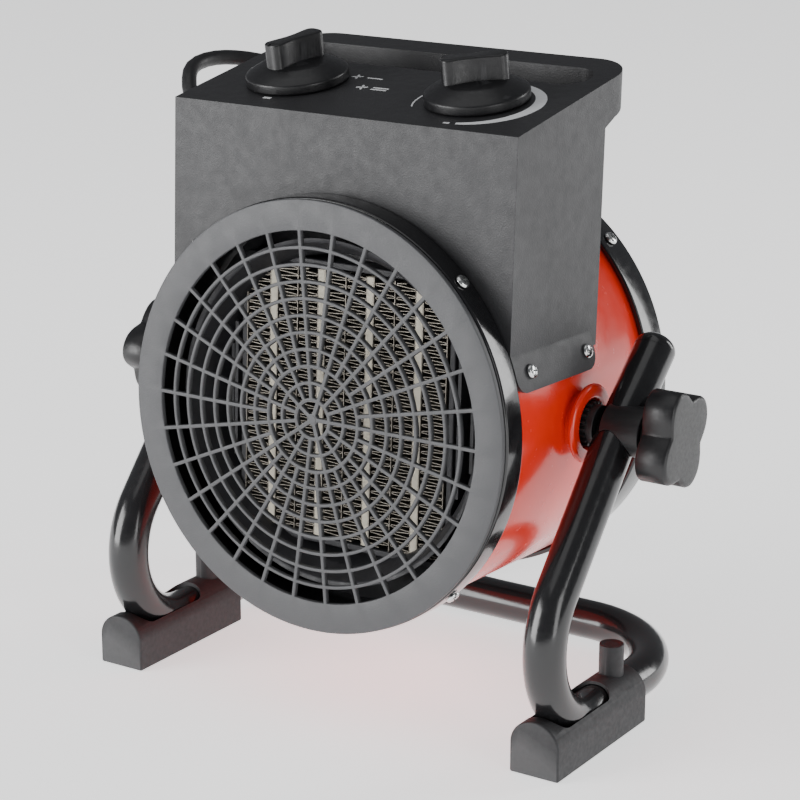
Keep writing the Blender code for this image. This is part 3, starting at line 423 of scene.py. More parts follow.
def rounded_rectangle(half_a, half_b, radius, steps=8, middle=(0, 0)):
    """A rectangle's outline with round corners."""
    points = []
    for i, (a, b) in enumerate(((1, 1), (-1, 1), (-1, -1), (1, -1))):
        centre = (middle[0] + a * (half_a - radius), middle[1] + b * (half_b - radius))
        points += arc(centre, radius, 90 * i, 90 * (i + 1), steps)
    return points


def swept(name, points, section, closed=False, caps=True, start_side=None, sharp=35):
    """Carry a section along a path; section(i) gives its (side, up) points at point i."""
    bm = bmesh.new()
    rings = []
    side = start_side
    count = len(points)
    for i, point in enumerate(points):
        before = points[i - 1] if i or closed else points[0]
        after = points[(i + 1) % count] if i < count - 1 or closed else points[-1]
        along = after - before
        if along.length < 1e-9:
            along = Vector((0, 0, 1))
        along.normalize()
        if side is None:
            side = along.orthogonal()
        side = (side - along * side.dot(along)).normalized()
        up = along.cross(side)
        rings.append([bm.verts.new(point + side * a + up * b) for a, b in section(i)])
    pairs = list(zip(rings, rings[1:]))
    if closed:
        pairs.append((rings[-1], rings[0]))
    for upper, lower in pairs:
        for k in range(len(upper)):
            after = (k + 1) % len(upper)
            bm.faces.new((upper[k], upper[after], lower[after], lower[k]))
    if caps and not closed:
        bm.faces.new(rings[0])
        bm.faces.new(rings[-1])
    return object_from(bm, name, sharp)


def round_section(radius, sides=24):
    """A circle to sweep."""
    circle = arc((0, 0), radius, 0, 360, sides)[:-1]
    return lambda i: circle


def together(name, pieces, sharp=35):
    """One object that holds several meshes."""
    bm = bmesh.new()
    for piece in pieces:
        part = piece.data.copy()
        part.transform(piece.matrix_basis)
        bm.from_mesh(part)
        bpy.data.meshes.remove(part)
        bpy.data.objects.remove(piece)
    return object_from(bm, name, sharp)


def moved(piece, matrix):
    """Move a piece's mesh."""
    piece.data.transform(matrix)
    return piece


def settle(piece, look, body, finish, *nodes, home=HEAD):
    """Finish a piece, put it in its place, tie it to its body and hide the CAD nodes it stands in
    for.
    """
    piece.data.materials.clear()
    piece.data.materials.append(LOOKS[look])
    piece.matrix_world = home
    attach(piece, body)
    if nodes:
        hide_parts(*nodes)
    return piece


# ------------------------------------------------------------------------ cord

CORD_RADIUS = 3.1 * MM
COIL_CENTRE = (-0.0700, 0.1200)
COIL_PITCH = 6.3 * MM                  # from one turn to the next
COIL_MIDDLE = 34.1 * MM
PLUG_REACH = 84 * MM


def smooth_route(points, spacing):
    """Points evenly spaced on a smooth curve through the given ones."""
    dense = []
    padded = [points[0] * 2 - points[1]] + points + [points[-1] * 2 - points[-2]]
    for a, b, c, d in zip(padded, padded[1:], padded[2:], padded[3:]):
        for i in range(24):
            t = i / 24
            dense.append(0.5 * ((2 * b) + (c - a) * t + (2 * a - 5 * b + 4 * c - d) * t * t
                                + (3 * b - a - 3 * c + d) * t ** 3))
    dense.append(points[-1])
    reach = [0.0]
    for a, b in zip(dense, dense[1:]):
        reach.append(reach[-1] + (b - a).length)
    count = round(reach[-1] / spacing)
    route = []
    k = 0
    for i in range(count + 1):
        goal = reach[-1] * i / count
        while k < len(reach) - 2 and reach[k + 1] < goal:
            k += 1
        share = (goal - reach[k]) / (reach[k + 1] - reach[k])
        route.append(dense[k].lerp(dense[k + 1], share))
    return route


def coil_points():
    """The wound-up lead: two turns on the floor, two on them and the last on top."""
    outer = COIL_MIDDLE + COIL_PITCH / 2
    inner = COIL_MIDDLE - COIL_PITCH / 2
    low = CORD_RADIUS + 0.1 * MM
    middle = low + COIL_PITCH
    top = middle + COIL_PITCH * math.sqrt(3) / 2
    keys = [(0, outer, low), (300, outer, low), (360, inner, low), (635, inner, low),
            (690, inner, middle), (965, inner, middle), (1020, outer, middle),
            (1295, outer, middle), (1350, COIL_MIDDLE, top), (1530, COIL_MIDDLE, top),
            (1620, COIL_MIDDLE + 4 * MM, top + 3 * MM)]
    points = []
    for degrees in range(0, keys[-1][0] + 1, 12):
        k = max(i for i, key in enumerate(keys[:-1]) if key[0] <= degrees)
        (start, r0, z0), (stop, r1, z1) = keys[k], keys[k + 1]
        ease = (1 - math.cos(math.pi * (degrees - start) / (stop - start))) / 2
        radius = r0 + (r1 - r0) * ease
        angle = math.radians(degrees - 90)
        points.append(Vector((COIL_CENTRE[0] + radius * math.cos(angle),
                              COIL_CENTRE[1] + radius * math.sin(angle),
                              z0 + (z1 - z0) * ease)))
    return points


def cord_points(exit_point, along, plug_entry):
    """The lead from the gland, round its loop, down to the floor, round the coil, to the plug."""
    route = [(-0.0595, 0.0755, 0.1993), (-0.0745, 0.0850, 0.2070), (-0.0935, 0.0800, 0.2180),
             (-0.1105, 0.0655, 0.2265), (-0.1212, 0.0495, 0.2298), (-0.1238, 0.0340, 0.2285),
             (-0.1172, 0.0212, 0.2235), (-0.1100, 0.0155, 0.2122), (-0.1062, 0.0155, 0.1960),
             (-0.1065, 0.0210, 0.1760), (-0.1095, 0.0315, 0.1540), (-0.1120, 0.0420, 0.1250),
             (-0.1140, 0.0530, 0.0920), (-0.1170, 0.0640, 0.0640), (-0.1195, 0.0760, 0.0360),
             (-0.1165, 0.0830, 0.0150), (-0.1070, 0.0846, 0.0050), (-0.0960, 0.0845, 0.0034)]
    start = [exit_point, exit_point + along * 0.0125]
    end = [plug_entry + Vector((9 * MM, -0.6 * MM, 0)), plug_entry]
    return start + [Vector(p) for p in route] + coil_points() + end


def make_cord():
    """The lead with its gland, tie and plug."""
    inverse = GROUND.inverted()
    gland_low, gland_high = local_box("cord_gland", HEAD)
    middle = (gland_low + gland_high) / 2
    gland_tip = HEAD @ Vector((middle.x, gland_high.y, middle.z))
    along = (HEAD.to_3x3() @ Vector((0, 1, 0))).normalized()
    plug_low, plug_high = local_box("plug", GROUND)
    plug_middle = (plug_low + plug_high) / 2
    entry = Vector((plug_high.x, plug_middle.y, plug_middle.z))
    exit_point = inverse @ (gland_tip + along * 2 * GAP)

    route = smooth_route(cord_points(exit_point, along, entry + Vector((GAP, 0, 0))), 5 * MM)
    lead = swept("mains_lead", route, round_section(CORD_RADIUS, 20), sharp=60)
    lead.data.materials.append(LOOKS["lead"])
    moved(lead, GROUND)
    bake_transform(lead)
    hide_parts("cord_tube", "cord_coil")

    tie = make_tie()
    plug, pins = make_plug(entry)
    make_gland(middle.x, middle.z, gland_low.y, gland_high.y)


def make_gland(x, z, start, tip):
    """Tapered, ribbed strain relief."""
    wall = tip - (tip - start) * 0.82
    profile = [(0, start), (5.4 * MM, start), (5.4 * MM, wall), (7.5 * MM, wall + GAP),
               (7.5 * MM, wall + 2.2 * MM), (5.6 * MM, wall + 3.4 * MM)]
    ribs = 6
    run = tip - wall - 4.4 * MM
    for i in range(ribs):
        at = wall + 4.4 * MM + run * i / ribs
        radius = (5.2 - 1.3 * i / ribs) * MM
        step = run / ribs
        profile += [(radius, at), (radius, at + step * 0.55), (radius - 0.9 * MM, at + step * 0.6),
                    (radius - 0.9 * MM, at + step * 0.95)]
    profile += [(3.9 * MM, tip - 0.4 * MM), (3.5 * MM, tip), (0, tip)]
    gland = turned("strain_relief", rounded(profile, 0.3 * MM, 2), "Y", 40)
    moved(gland, Matrix.Translation((x, 0, z)))
    settle(gland, "lead", "head", "cord_rubber", "cord_gland")


def make_tie():
    """A flat tie round the turns of the coil."""
    half_wide = COIL_PITCH + 1.0 * MM
    half_high = (3 * COIL_PITCH - 0.2 * MM) / 2
    outline = rounded_rectangle(half_wide, half_high, 4.4 * MM, 8)
    rise = half_high + 0.4 * MM
    path = [Vector((COIL_CENTRE[0] + COIL_MIDDLE + a, COIL_CENTRE[1], rise + b))
            for a, b in outline]
    strip = in_mm((-3, -0.35), (3, -0.35), (3, 0.35), (-3, 0.35))
    tie = swept("cord_tie", path, lambda i: strip, closed=True, start_side=Vector((0, 1, 0)))
    return settle(tie, "plain", "stand", "cord_rubber", home=GROUND)


def make_plug(entry):
    """The moulded plug with its grip ribs, and its pins."""
    run = PLUG_REACH - 18 * MM
    profile = in_mm((0, 0), (4.0, 0), (4.3, 2))
    for i in range(5):
        at = (3 + 4 * i) * MM
        radius = (4.4 + 0.22 * i) * MM
        profile += [(radius, at), (radius, at + 2.2 * MM), (radius - 0.9 * MM, at + 2.5 * MM),
                    (radius - 0.9 * MM, at + 3.7 * MM)]
    profile += [(5.6 * MM, 24 * MM), (11.0 * MM, 27 * MM), (13.5 * MM, 36 * MM),
                (15.0 * MM, 44 * MM), (18.3 * MM, 52 * MM), (18.3 * MM, run - 1.0 * MM),
                (17.4 * MM, run), (0, run)]
    plug = turned("mains_plug", rounded(profile, 0.9 * MM, 3), "X", 64)
    for i in range(6):
        for sign in (-1, 1):
            at = (33 + 2.4 * i) * MM
            groove = block("groove", (at, -9 * MM, sign * 15.4 * MM - 3 * MM),
                           (at + 1.0 * MM, 9 * MM, sign * 15.4 * MM + 3 * MM))
            combined(plug, groove, "DIFFERENCE")
    turn = Matrix.Translation(entry) @ Matrix.Rotation(math.pi, 4, "Z")
    settle(moved(plug, turn), "lead", "stand", "cord_rubber", "plug", home=GROUND)
    pins = []
    for sign in (-1, 1):
        pin = [(0, PLUG_REACH), (1.5 * MM, PLUG_REACH), (2.35 * MM, PLUG_REACH - 1.2 * MM),
               (2.35 * MM, run - 3 * MM), (0, run - 3 * MM)]
        piece = turned("pin", rounded(pin, 0.6 * MM, 3), "X", 32)
        pins.append(moved(piece, Matrix.Translation((0, sign * 9.5 * MM, 0))))
    pair = moved(together("plug_pins", pins), turn)
    settle(pair, "zinc", "stand", "zinc", home=GROUND)
    return plug, pair


# ----------------------------------------------------------------------- stand

TUBE_RADIUS = 8 * MM
ARM_X = 96 * MM
TUBE_Z = 12 * MM
FRONT_BEND = (-19.5 * MM, 45 * MM, 33 * MM)       # centre y, centre z, radius
ARM_SLOPE = 48.9
ARM_TOP_SLOPE = 42.0                              # of the stretch above the pivot
ARM_PAST_PIVOT = 36 * MM
REAR_BEND = (18.5 * MM, 44 * MM)                  # start y, radius
SADDLE_END = 108.5 * MM


def stand_path():
    """Middle line of the bent tube, right end to left end."""
    lean = math.radians(ARM_TOP_SLOPE)
    up = Vector((0, math.cos(lean), math.sin(lean)))
    pivot = Vector((ARM_X, 0, PIVOT.z))
    right = [pivot + up * ARM_PAST_PIVOT, pivot + up * ARM_PAST_PIVOT / 2, pivot]
    front = arc(FRONT_BEND[:2], FRONT_BEND[2], ARM_SLOPE + 90, 270, 40)
    first = Vector((ARM_X, *front[0]))
    right += [pivot.lerp(first, share) for share in (0.25, 0.5, 0.75)]
    right += [Vector((ARM_X, y, z)) for y, z in front]
    rear_y, rear_radius = REAR_BEND
    right += [Vector((ARM_X, y, TUBE_Z)) for y in (-8 * MM, 3 * MM, 11 * MM)]
    rear = arc((ARM_X - rear_radius, rear_y), rear_radius, 0, 90, 26)
    right += [Vector((x, y, TUBE_Z)) for x, y in rear]
    right += [Vector((x, rear_y + rear_radius, TUBE_Z)) for x in (30 * MM, 10 * MM)]
    return right + [Vector((-p.x, p.y, p.z)) for p in reversed(right)]


def foot_outline(half, wall, top):
    """A foot's section: flat sole with rounded corners, upright sides, arched top."""
    outline = arc((-half + 0.8 * MM, 0.8 * MM), 0.8 * MM, 180, 270, 4)
    outline += arc((half - 0.8 * MM, 0.8 * MM), 0.8 * MM, 270, 360, 4)
    for i in range(25):
        angle = math.pi * i / 24
        outline.append((half * math.cos(angle), wall + (top - wall) * math.sin(angle)))
    return outline


def make_stand():
    """Tube, feet, pins and end caps."""
    path = stand_path()
    settle(swept("bent_tube", path, round_section(TUBE_RADIUS, 40), sharp=60), "tube", "stand",
           "tube_steel", "stand_tube", home=GROUND)
    for side, sign in (("right", 1), ("left", -1)):
        low, high = local_box("foot_" + side, GROUND)
        half = (high.x - low.x) / 2
        foot = prism("foot_shell_" + side, foot_outline(half, 12 * MM, high.z), "Y", low.y, high.y)
        softened(foot, 1.1 * MM, 4, angle=50)
        moved(foot, Matrix.Translation((sign * ARM_X, 0, 0)))
        way = swept("way", path, round_section(TUBE_RADIUS + GAP, 40))
        combined(foot, way, "DIFFERENCE")
        slot = prism("slot", rounded_rectangle(TUBE_RADIUS + GAP, 20.2 * MM, 6 * MM), "Z",
                     TUBE_Z, high.z + 5 * MM)
        moved(slot, Matrix.Translation((sign * ARM_X, -33.4 * MM, 0)))
        combined(foot, slot, "DIFFERENCE")
        settle(foot, "foot", "stand", "foot_rubber", "foot_" + side, home=GROUND)

        low, high = local_box("foot_pin_" + side, GROUND)
        radius = (high.x - low.x) / 2
        profile = [(0, high.z - 0.5 * MM), (radius - 1.8 * MM, high.z - 0.4 * MM),
                   (radius - 1.0 * MM, high.z), (radius, high.z), (radius, low.z), (0, low.z)]
        pin = turned("pin_" + side, rounded(profile, 0.5 * MM), "Z", 48)
        middle = (low + high) / 2
        moved(pin, Matrix.Translation((middle.x, middle.y, 0)))
        settle(pin, "foot", "stand", "black_plastic", "foot_pin_" + side, home=GROUND)

        dome = [(TUBE_RADIUS * math.cos(a), 5.4 * MM * math.sin(a))
                for a in (math.pi / 2 * i / 12 for i in range(12))]
        profile = [(0, 5.4 * MM)] + dome[::-1] + [(TUBE_RADIUS, -1.2 * MM), (0, -1.2 * MM)]
        cap = turned("end_cap_" + side, profile, "Z", 40)
        tip = path[0] if sign == 1 else path[-1]
        turn = Matrix.Rotation(math.radians(ARM_TOP_SLOPE - 90), 4, "X")
        moved(cap, Matrix.Translation(tip + Vector((0, 0, 0.2 * MM))) @ turn)
        settle(cap, "tube", "stand", "black_plastic", "tube_cap_" + side, home=GROUND)

        profile = [(3.4 * MM, 92.5 * MM), (3.4 * MM, SADDLE_END), (9.5 * MM, SADDLE_END),
                   (9.5 * MM, 92.5 * MM)]
        saddle = turned("saddle_" + side, rounded(profile, 0.6 * MM, 3, ring=True), "X", 72,
                        ring=True)
        moved(saddle, Matrix.Translation((0, 0, PIVOT.z))
              @ Matrix.Rotation(0 if sign == 1 else math.pi, 4, "Z"))
        combined(saddle, swept("way", path, round_section(TUBE_RADIUS + GAP, 40)), "DIFFERENCE")
        settle(saddle, "plain", "stand", "black_plastic", "clamp_saddle_" + side, home=GROUND)


# -------------------------------------------------------------- drum and rings

DRUM_RADIUS = 79.5 * MM
FACE_FRONT = -60.5 * MM
OPENING = 70.5 * MM
RING_STEP = 6.3 * MM


def polar_guard(name, radii, spokes, wide, low, high, fine):
    """A flat guard of rings and straight spokes.

    radii holds the middle and the width of each ring, from the inside; wide is the
    spokes' width and fine the number of steps of arc between spokes.
    """
    edges = []
    for middle, width in radii:
        edges += [middle - width / 2, middle + width / 2]
    bm = bmesh.new()
    per_spoke = fine + 1
    total = spokes * per_spoke

    def angle(radius, k):
        spoke, part = divmod(k, per_spoke)
        reach = math.asin(min(0.99, wide / 2 / radius))
        step = 2 * math.pi / spokes
        start = spoke * step
        if part == 0:
            return start - reach
        return start + reach + (step - 2 * reach) * (part - 1) / fine

    grid = {}
    for i, radius in enumerate(edges):
        for k in range(total):
            turn = angle(radius, k)
            for face, depth in enumerate((low, high)):
                grid[i, k, face] = bm.verts.new(
                    (radius * math.cos(turn), depth, radius * math.sin(turn)))
    borders = set()
    for i in range(len(edges) - 1):
        for k in range(total):
            if i % 2 and k % per_spoke:
                continue
            j = (k + 1) % total
            cell = [(i, k), (i + 1, k), (i + 1, j), (i, j)]
            bm.faces.new([grid[c + (0,)] for c in cell])
            bm.faces.new([grid[c + (1,)] for c in reversed(cell)])
            for a, b in zip(cell, cell[1:] + cell[:1]):
                if (b, a) in borders:
                    borders.remove((b, a))
                else:
                    borders.add((a, b))
    for a, b in sorted(borders):
        bm.faces.new((grid[a + (0,)], grid[a + (1,)], grid[b + (1,)], grid[b + (0,)]))
    return object_from(bm, name, 50)


def make_grille():
    """The grey face with its grille: the spokes thin out towards the middle."""
    low, high = local_box("front_grille", HEAD)
    back = high.y
    bar = 1.3 * MM
    spoke = 1.4 * MM
    rings = [OPENING - RING_STEP * i for i in range(1, 9)]
    outer = [(r, bar) for r in reversed(rings)]
    edge = (high.x - low.x) / 2
    outer.append(((OPENING + edge) / 2, edge - OPENING))
    face = polar_guard("face_grille", outer, 30, spoke, FACE_FRONT, back, 4)
    inner_rings = [rings[-1] - RING_STEP * 2, rings[-1] - RING_STEP, rings[-1] - 0.1 * MM]
    inner = polar_guard("inner", [(r, bar) for r in inner_rings], 15, spoke,
                        FACE_FRONT + 0.05 * MM, back - 0.05 * MM, 6)
    core = polar_guard("core", [(1.4 * MM, 1.6 * MM), (inner_rings[0] - 0.1 * MM, bar)], 5,
                       1.5 * MM, FACE_FRONT + 0.10 * MM, back - 0.10 * MM, 10)
    hub = turned("hub", [(0, -FACE_FRONT), (1.6 * MM, -FACE_FRONT), (1.6 * MM, -back), (0, -back)],
                 "Y", 24)
    moved(hub, Matrix.Scale(-1, 4, (0, 1, 0)))
    for part, width in ((face, 0.35), (inner, 0.3), (core, 0.3)):
        softened(part, width * MM, 2, angle=50, even=False)
    grille = together("grille_face", [face, inner, core, hub], 50)
    settle(grille, "face", "head", "grey_face", "front_grille")


def make_drum():
    """Drum, rim band, rear ring and rear guard."""
    low, high = local_box("drum_shell", HEAD)
    wall = 0.9 * MM
    r = DRUM_RADIUS
    profile = [(r - wall, high.y), (r, high.y), (r, low.y), (r - wall, low.y)]
    drum = turned("drum_skin", rounded(profile, 0.3 * MM, 2, ring=True), "Y", 192, ring=True)
    settle(drum, "enamel", "head", "red_enamel", "drum_shell")
    drum.data.materials.append(LOOKS["plain"])
    for face in drum.data.polygons:
        if face.center.xz.length < r - wall * 0.6:
            face.material_index = 1

    low, high = local_box("front_rim", HEAD)
    outer = (high.x - low.x) / 2
    profile = [(r + GAP, high.y), (outer - 0.5 * MM, high.y), (outer, high.y - 0.6 * MM),
               (outer, low.y + 0.8 * MM), (outer - 0.4 * MM, low.y), (r + GAP, low.y)]
    rim = turned("rim_band", rounded(profile, 0.35 * MM, 3, ring=True), "Y", 192, ring=True)
    settle(rim, "rim", "head", "black_plastic", "front_rim")

    low, high = local_box("rear_ring", HEAD)
    outer = (high.x - low.x) / 2
    lip = high.y - 2 * MM
    profile = [(73.5 * MM, high.y), (outer, high.y), (outer, low.y), (r + GAP, low.y),
               (r + GAP, lip), (73.5 * MM, lip)]
    rear = turned("rear_band", rounded(profile, 0.8 * MM, 4, ring=True), "Y", 192, ring=True)
    settle(rear, "rim", "head", "black_plastic", "rear_ring")

    low, high = local_box("rear_guard", HEAD)
    outer = (high.x - low.x) / 2
    count = 9
    step = (outer - 8 * MM) / count
    rings = [(8 * MM + step * i, 1.7 * MM) for i in range(count)]
    rings.append((outer - 1.6 * MM, 3.2 * MM))
    guard = polar_guard("rear_grille", rings, 16, 1.9 * MM, low.y, high.y, 6)
    softened(guard, 0.35 * MM, 2, angle=50, even=False)
    hub = turned("hub", rounded([(0, high.y + 0.2 * MM), (10 * MM, high.y + 0.2 * MM),
                                 (10 * MM, low.y - 0.2 * MM), (0, low.y - 0.2 * MM)], 0.5 * MM),
                 "Y", 48)
    guard = together("rear_grille", [guard, hub], 50)
    settle(guard, "plain", "head", "black_plastic", "rear_guard")


def screw_mesh():
    """A pan-head screw with a cross recess, its head towards +X."""
    head = 2.8 * MM
    crown = 1.7 * MM
    profile = [(0, crown), (0.55 * head, 0.94 * crown), (0.85 * head, 0.72 * crown),
               (head, 0.30 * crown), (head, 0), (1.5 * MM, 0), (1.5 * MM, -5 * MM), (0, -5 * MM)]
    screw = turned("screw", rounded(profile, 0.3 * MM, 3), "X", 32)
    for long_side, short_side in ((1.55, 0.30), (0.30, 1.55)):
        cross = block("cross", (crown - 1.0 * MM, -long_side * MM, -short_side * MM),
                      (crown + 1.0 * MM, long_side * MM, short_side * MM))
        combined(screw, cross, "DIFFERENCE")
    mesh = screw.data
    bpy.data.objects.remove(screw)
    return mesh


def make_screws():
    """The screws of the rim, the rear ring and the housing's flange."""
    mesh = screw_mesh()
    for kind in ("rim_screw", "rear_screw", "flange_screw"):
        for i in range(1, 5):
            node = "{}_{}".format(kind, i)
            low, high = local_box(node, HEAD)
            middle = (low + high) / 2
            angle = math.atan2(middle.z, middle.x)
            back = HEAD.inverted()
            reach = max((back @ v.co).xz.length for v in frame["nodes"][node].data.vertices)
            seat = reach - 1.7 * MM
            turn = (Matrix.Rotation(-angle, 4, "Y") @ Matrix.Translation((seat, 0, 0))
                    @ Matrix.Rotation(0.5 + 0.9 * i, 4, "X"))
            piece = bpy.data.objects.new(node + "_head", mesh.copy())
            bpy.context.scene.collection.objects.link(piece)
            moved(piece, Matrix.Translation((0, middle.y, 0)) @ turn)
            settle(piece, "zinc", "head", "zinc", node)


# ------------------------------------------------------------- control housing

SLOPE = math.radians(12)
BOX_WALL = 2.2 * MM
SLOT_FLOOR = 98.5 * MM
KNOB_UP = 31 * MM                       # knob centres, up the slope from the front edge


class Housing:
    """The housing's main sizes, in the head's frame."""

    low, high = local_box("control_housing", HEAD)
    half = 75.5 * MM
    front = -46.4 * MM
    back = 17.0 * MM
    top = 111.2 * MM
    handle_back = 41.0 * MM
    flange_radius = 82.3 * MM
    flange_back = 11.0 * MM
    flange_low = 19.0 * MM


def panel_height(y):
    """Height of the sloping panel at a depth."""
    return Housing.top + (y - Housing.front) * math.tan(SLOPE)


def panel_matrix(x, up_slope, lift=0.0):
    """A frame on the panel: Z along its normal, Y up the slope."""
    y = Housing.front + up_slope * math.cos(SLOPE)
    spot = Vector((x, y, panel_height(y)))
    turn = Matrix.Rotation(SLOPE, 4, "X")
    return Matrix.Translation(spot) @ turn @ Matrix.Translation((0, 0, lift))


def make_housing():
    """The moulded housing: sloping panel, handle over a finger slot, flange on the drum."""
    h = Housing
    rear = panel_height(h.handle_back)
    side = [(h.front, 20 * MM), (h.front, h.top), (h.handle_back, rear),
            (h.handle_back, rear - 13.5 * MM), (24 * MM, 111 * MM), (h.back, 107.5 * MM),
            (h.back, 20 * MM)]
    body = prism("housing", side, "X", -h.half, h.half)
    corner = 17 * MM
    plan = [(h.half, h.front - 1 * MM)]
    plan += arc((h.half - corner, h.handle_back - corner), corner, 0, 90, 14)
    plan += arc((-h.half + corner, h.handle_back - corner), corner, 90, 180, 14)
    plan += [(-h.half, h.front - 1 * MM)]
    combined(body, prism("plan", plan, "Z", 0, 0.2), "INTERSECT")
    softened(body, 3.2 * MM, 5, angle=38, even=False)
    slot_front, slot_back = 9.1 * MM, 28.9 * MM
    slot_half = (slot_back - slot_front) / 2
    slot = prism("slot", rounded_rectangle(67 * MM, slot_half, slot_half - 0.3 * MM, 12,
                                           (0, (slot_front + slot_back) / 2)),
                 "Z", SLOT_FLOOR, 0.16)
    combined(body, slot, "DIFFERENCE")
    softened(body, 2.0 * MM, 4, angle=50, even=False)

    skin = turned("skin", [(0, h.flange_back), (h.flange_radius, h.flange_back),
                           (h.flange_radius, h.front), (0, h.front)], "Y", 240)
    depth = (h.flange_back - h.front) / 2
    tall = 30 * MM
    keep = prism("keep", rounded_rectangle(depth, tall, 6 * MM, 8,
                                           (h.front + depth, h.flange_low + tall)),
                 "X", -0.1, 0.1)
    combined(skin, keep, "INTERSECT")
    combined(body, skin, "UNION")
    drum = turned("drum", [(0, 80 * MM), (DRUM_RADIUS + GAP, 80 * MM),
                           (DRUM_RADIUS + GAP, -80 * MM), (0, -80 * MM)], "Y", 240)
    combined(body, drum, "DIFFERENCE")
    under = BOX_WALL / math.cos(SLOPE)
    front = h.front + BOX_WALL
    inner_back = slot_front - BOX_WALL
    ledge = SLOT_FLOOR - BOX_WALL
    room = [(front, 10 * MM), (front, panel_height(front) - under),
            (inner_back, panel_height(inner_back) - under), (inner_back, ledge),
            (h.back - BOX_WALL, ledge), (h.back - BOX_WALL, 10 * MM)]
    combined(body, prism("room", room, "X", -h.half + BOX_WALL, h.half - BOX_WALL), "DIFFERENCE")
    shaded(body, 32)
    level = body.modifiers.new("level", "WEIGHTED_NORMAL")
    level.keep_sharp = True
    applied(body)
    settle(body, "housing", "head", "housing_plastic", "control_housing")


def flat_print(name, outlines, matrix, thickness=0.06 * MM):
    """Thin ink shapes on the panel."""
    shapes = [prism(name, outline, "Z", 0.0, thickness) for outline in outlines]
    return moved(together(name, shapes), matrix)


def slanted(centre, radius, degrees, length, width):
    """A short dash across a circle, as a four-cornered outline."""
    out = Vector((math.cos(math.radians(degrees)), math.sin(math.radians(degrees))))
    across = Vector((-out.y, out.x)) * width / 2
    middle = Vector(centre)
    start, stop = middle + out * radius, middle + out * (radius + length)
    return [tuple(p) for p in (start - across, stop - across, stop + across, start + across)]


def make_prints():
    """White ink: the thermostat's growing scale, the selector's tick and fan marks."""
    inner = 22.5 * MM
    keys = [(208, 0.6), (150, 0.8), (110, 1.5), (70, 2.9), (35, 4.1), (5, 4.7), (-25, 4.1),
            (-55, 2.7), (-75, 1.6)]
    steps = 72
    outer_run = []
    inner_run = []
    for i in range(steps + 1):
        angle = 208 - 283 * i / steps
        width = float(np.interp(-angle, [-a for a, w in keys], [w for a, w in keys])) * MM
        spot = Vector((math.cos(math.radians(angle)), math.sin(math.radians(angle))))
        outer_run.append((spot.x * (inner + width), spot.y * (inner + width) - 2.5 * MM))
        inner_run.append((spot.x * inner, spot.y * inner - 2.5 * MM))
    scale = outer_run + inner_run[::-1]
    ticks = [slanted((0, -2.5 * MM), inner, -84, 1.2 * MM, 2.4 * MM)]
    lift = 0.02 * MM
    thermostat = flat_print("thermostat_scale", [scale] + ticks,
                            panel_matrix(40 * MM, KNOB_UP, lift))
    tick = slanted((0, 0), 20.6 * MM, 272, 1.5 * MM, 3.4 * MM)
    selector = flat_print("selector_tick", [tick], panel_matrix(-40 * MM, KNOB_UP, lift))
    marks = []
    for x, up, bars in ((-20 * MM, 42.0 * MM, 1), (-11 * MM, 31.5 * MM, 2)):
        marks.append(fan_mark(x, up, bars, lift))
    settle(together("panel_print", [thermostat, selector] + marks), "ink", "head",
           "housing_plastic")


BLADE = ((0.2, -0.1), (1.2, -0.75), (2.3, -0.45), (2.4, 0.25), (1.1, 0.35), (0.2, 0.3))


def fan_mark(x, up, bars, lift):
    """A four-bladed fan sign with one or two strokes beside it."""
    blades = []
    for i in range(4):
        turn = math.radians(90 * i + 20)
        blades.append([((a * math.cos(turn) - b * math.sin(turn)) * MM,
                        (a * math.sin(turn) + b * math.cos(turn)) * MM) for a, b in BLADE])
    for i in range(bars):
        low = (-0.5 + 1.9 * (i - (bars - 1) / 2)) * MM
        blades.append([(4.6 * MM, low), (11.4 * MM, low), (11.4 * MM, low + 0.9 * MM),
                       (4.6 * MM, low + 0.9 * MM)])
    return flat_print("fan_mark", blades, panel_matrix(x, up, lift))


# ----------------------------------------------------------------------- knobs

def grip_outline(half_length, half_end, half_waist, steps=14):
    """A grip bar seen from above: rounded ends and a gentle waist."""
    outline = []
    for end in (1, -1):
        for i in range(steps + 1):
            angle = math.radians(-90 + 180 * i / steps)
            squarish = 2.6
            c, s = math.cos(angle), math.sin(angle)
            a = abs(c) ** (2 / squarish) * half_end * 0.8
            b = math.copysign(abs(s) ** (2 / squarish), s) * half_end
            outline.append((end * (half_length - half_end * 0.8 + a), end * b))
        for i in range(1, steps):
            t = i / steps
            pinch = half_end - (half_end - half_waist) * math.sin(math.pi * t) ** 1.4
            reach = (half_length - half_end * 0.8) * (1 - 2 * t)
            outline.append((end * reach, end * pinch))
    return outline


def make_panel_knob(node, body, sign, grip_turn):
    """A skirted knob with a waisted grip bar and a pointer notch."""
    r = 19.75 * MM
    profile = [(0, 8.4 * MM), (9.0 * MM, 8.3 * MM), (12.6 * MM, 7.8 * MM), (16.6 * MM, 6.0 * MM),
               (r - 1.0 * MM, 4.7 * MM), (r, 3.9 * MM), (r, 0.8 * MM), (r - 0.5 * MM, GAP),
               (3.0 * MM, GAP), (3.0 * MM, -5.0 * MM), (0, -5.0 * MM)]
    knob = turned(node + "_cap", rounded(profile, 0.9 * MM, 4), "Z", 96, sharp=50)
    bar = prism("bar", grip_outline(12.4 * MM, 4.1 * MM, 3.0 * MM), "Z", 4 * MM, 17.4 * MM, 60)
    softened(bar, 0.8 * MM, 4, angle=60, even=False)
    notch = prism("notch", in_mm((-12.8, -0.9), (-8.6, 0), (-12.8, 0.9)), "Z",
                  16.8 * MM, 19 * MM)
    combined(bar, notch, "DIFFERENCE")
    combined(knob, bar, "UNION")
    softened(knob, 0.45 * MM, 3, angle=48, even=False)
    shaded(knob, 50)
    moved(knob, panel_matrix(sign * 40 * MM, KNOB_UP) @ Matrix.Rotation(grip_turn, 4, "Z"))
    settle(knob, "knob", body, "knob_plastic", node)


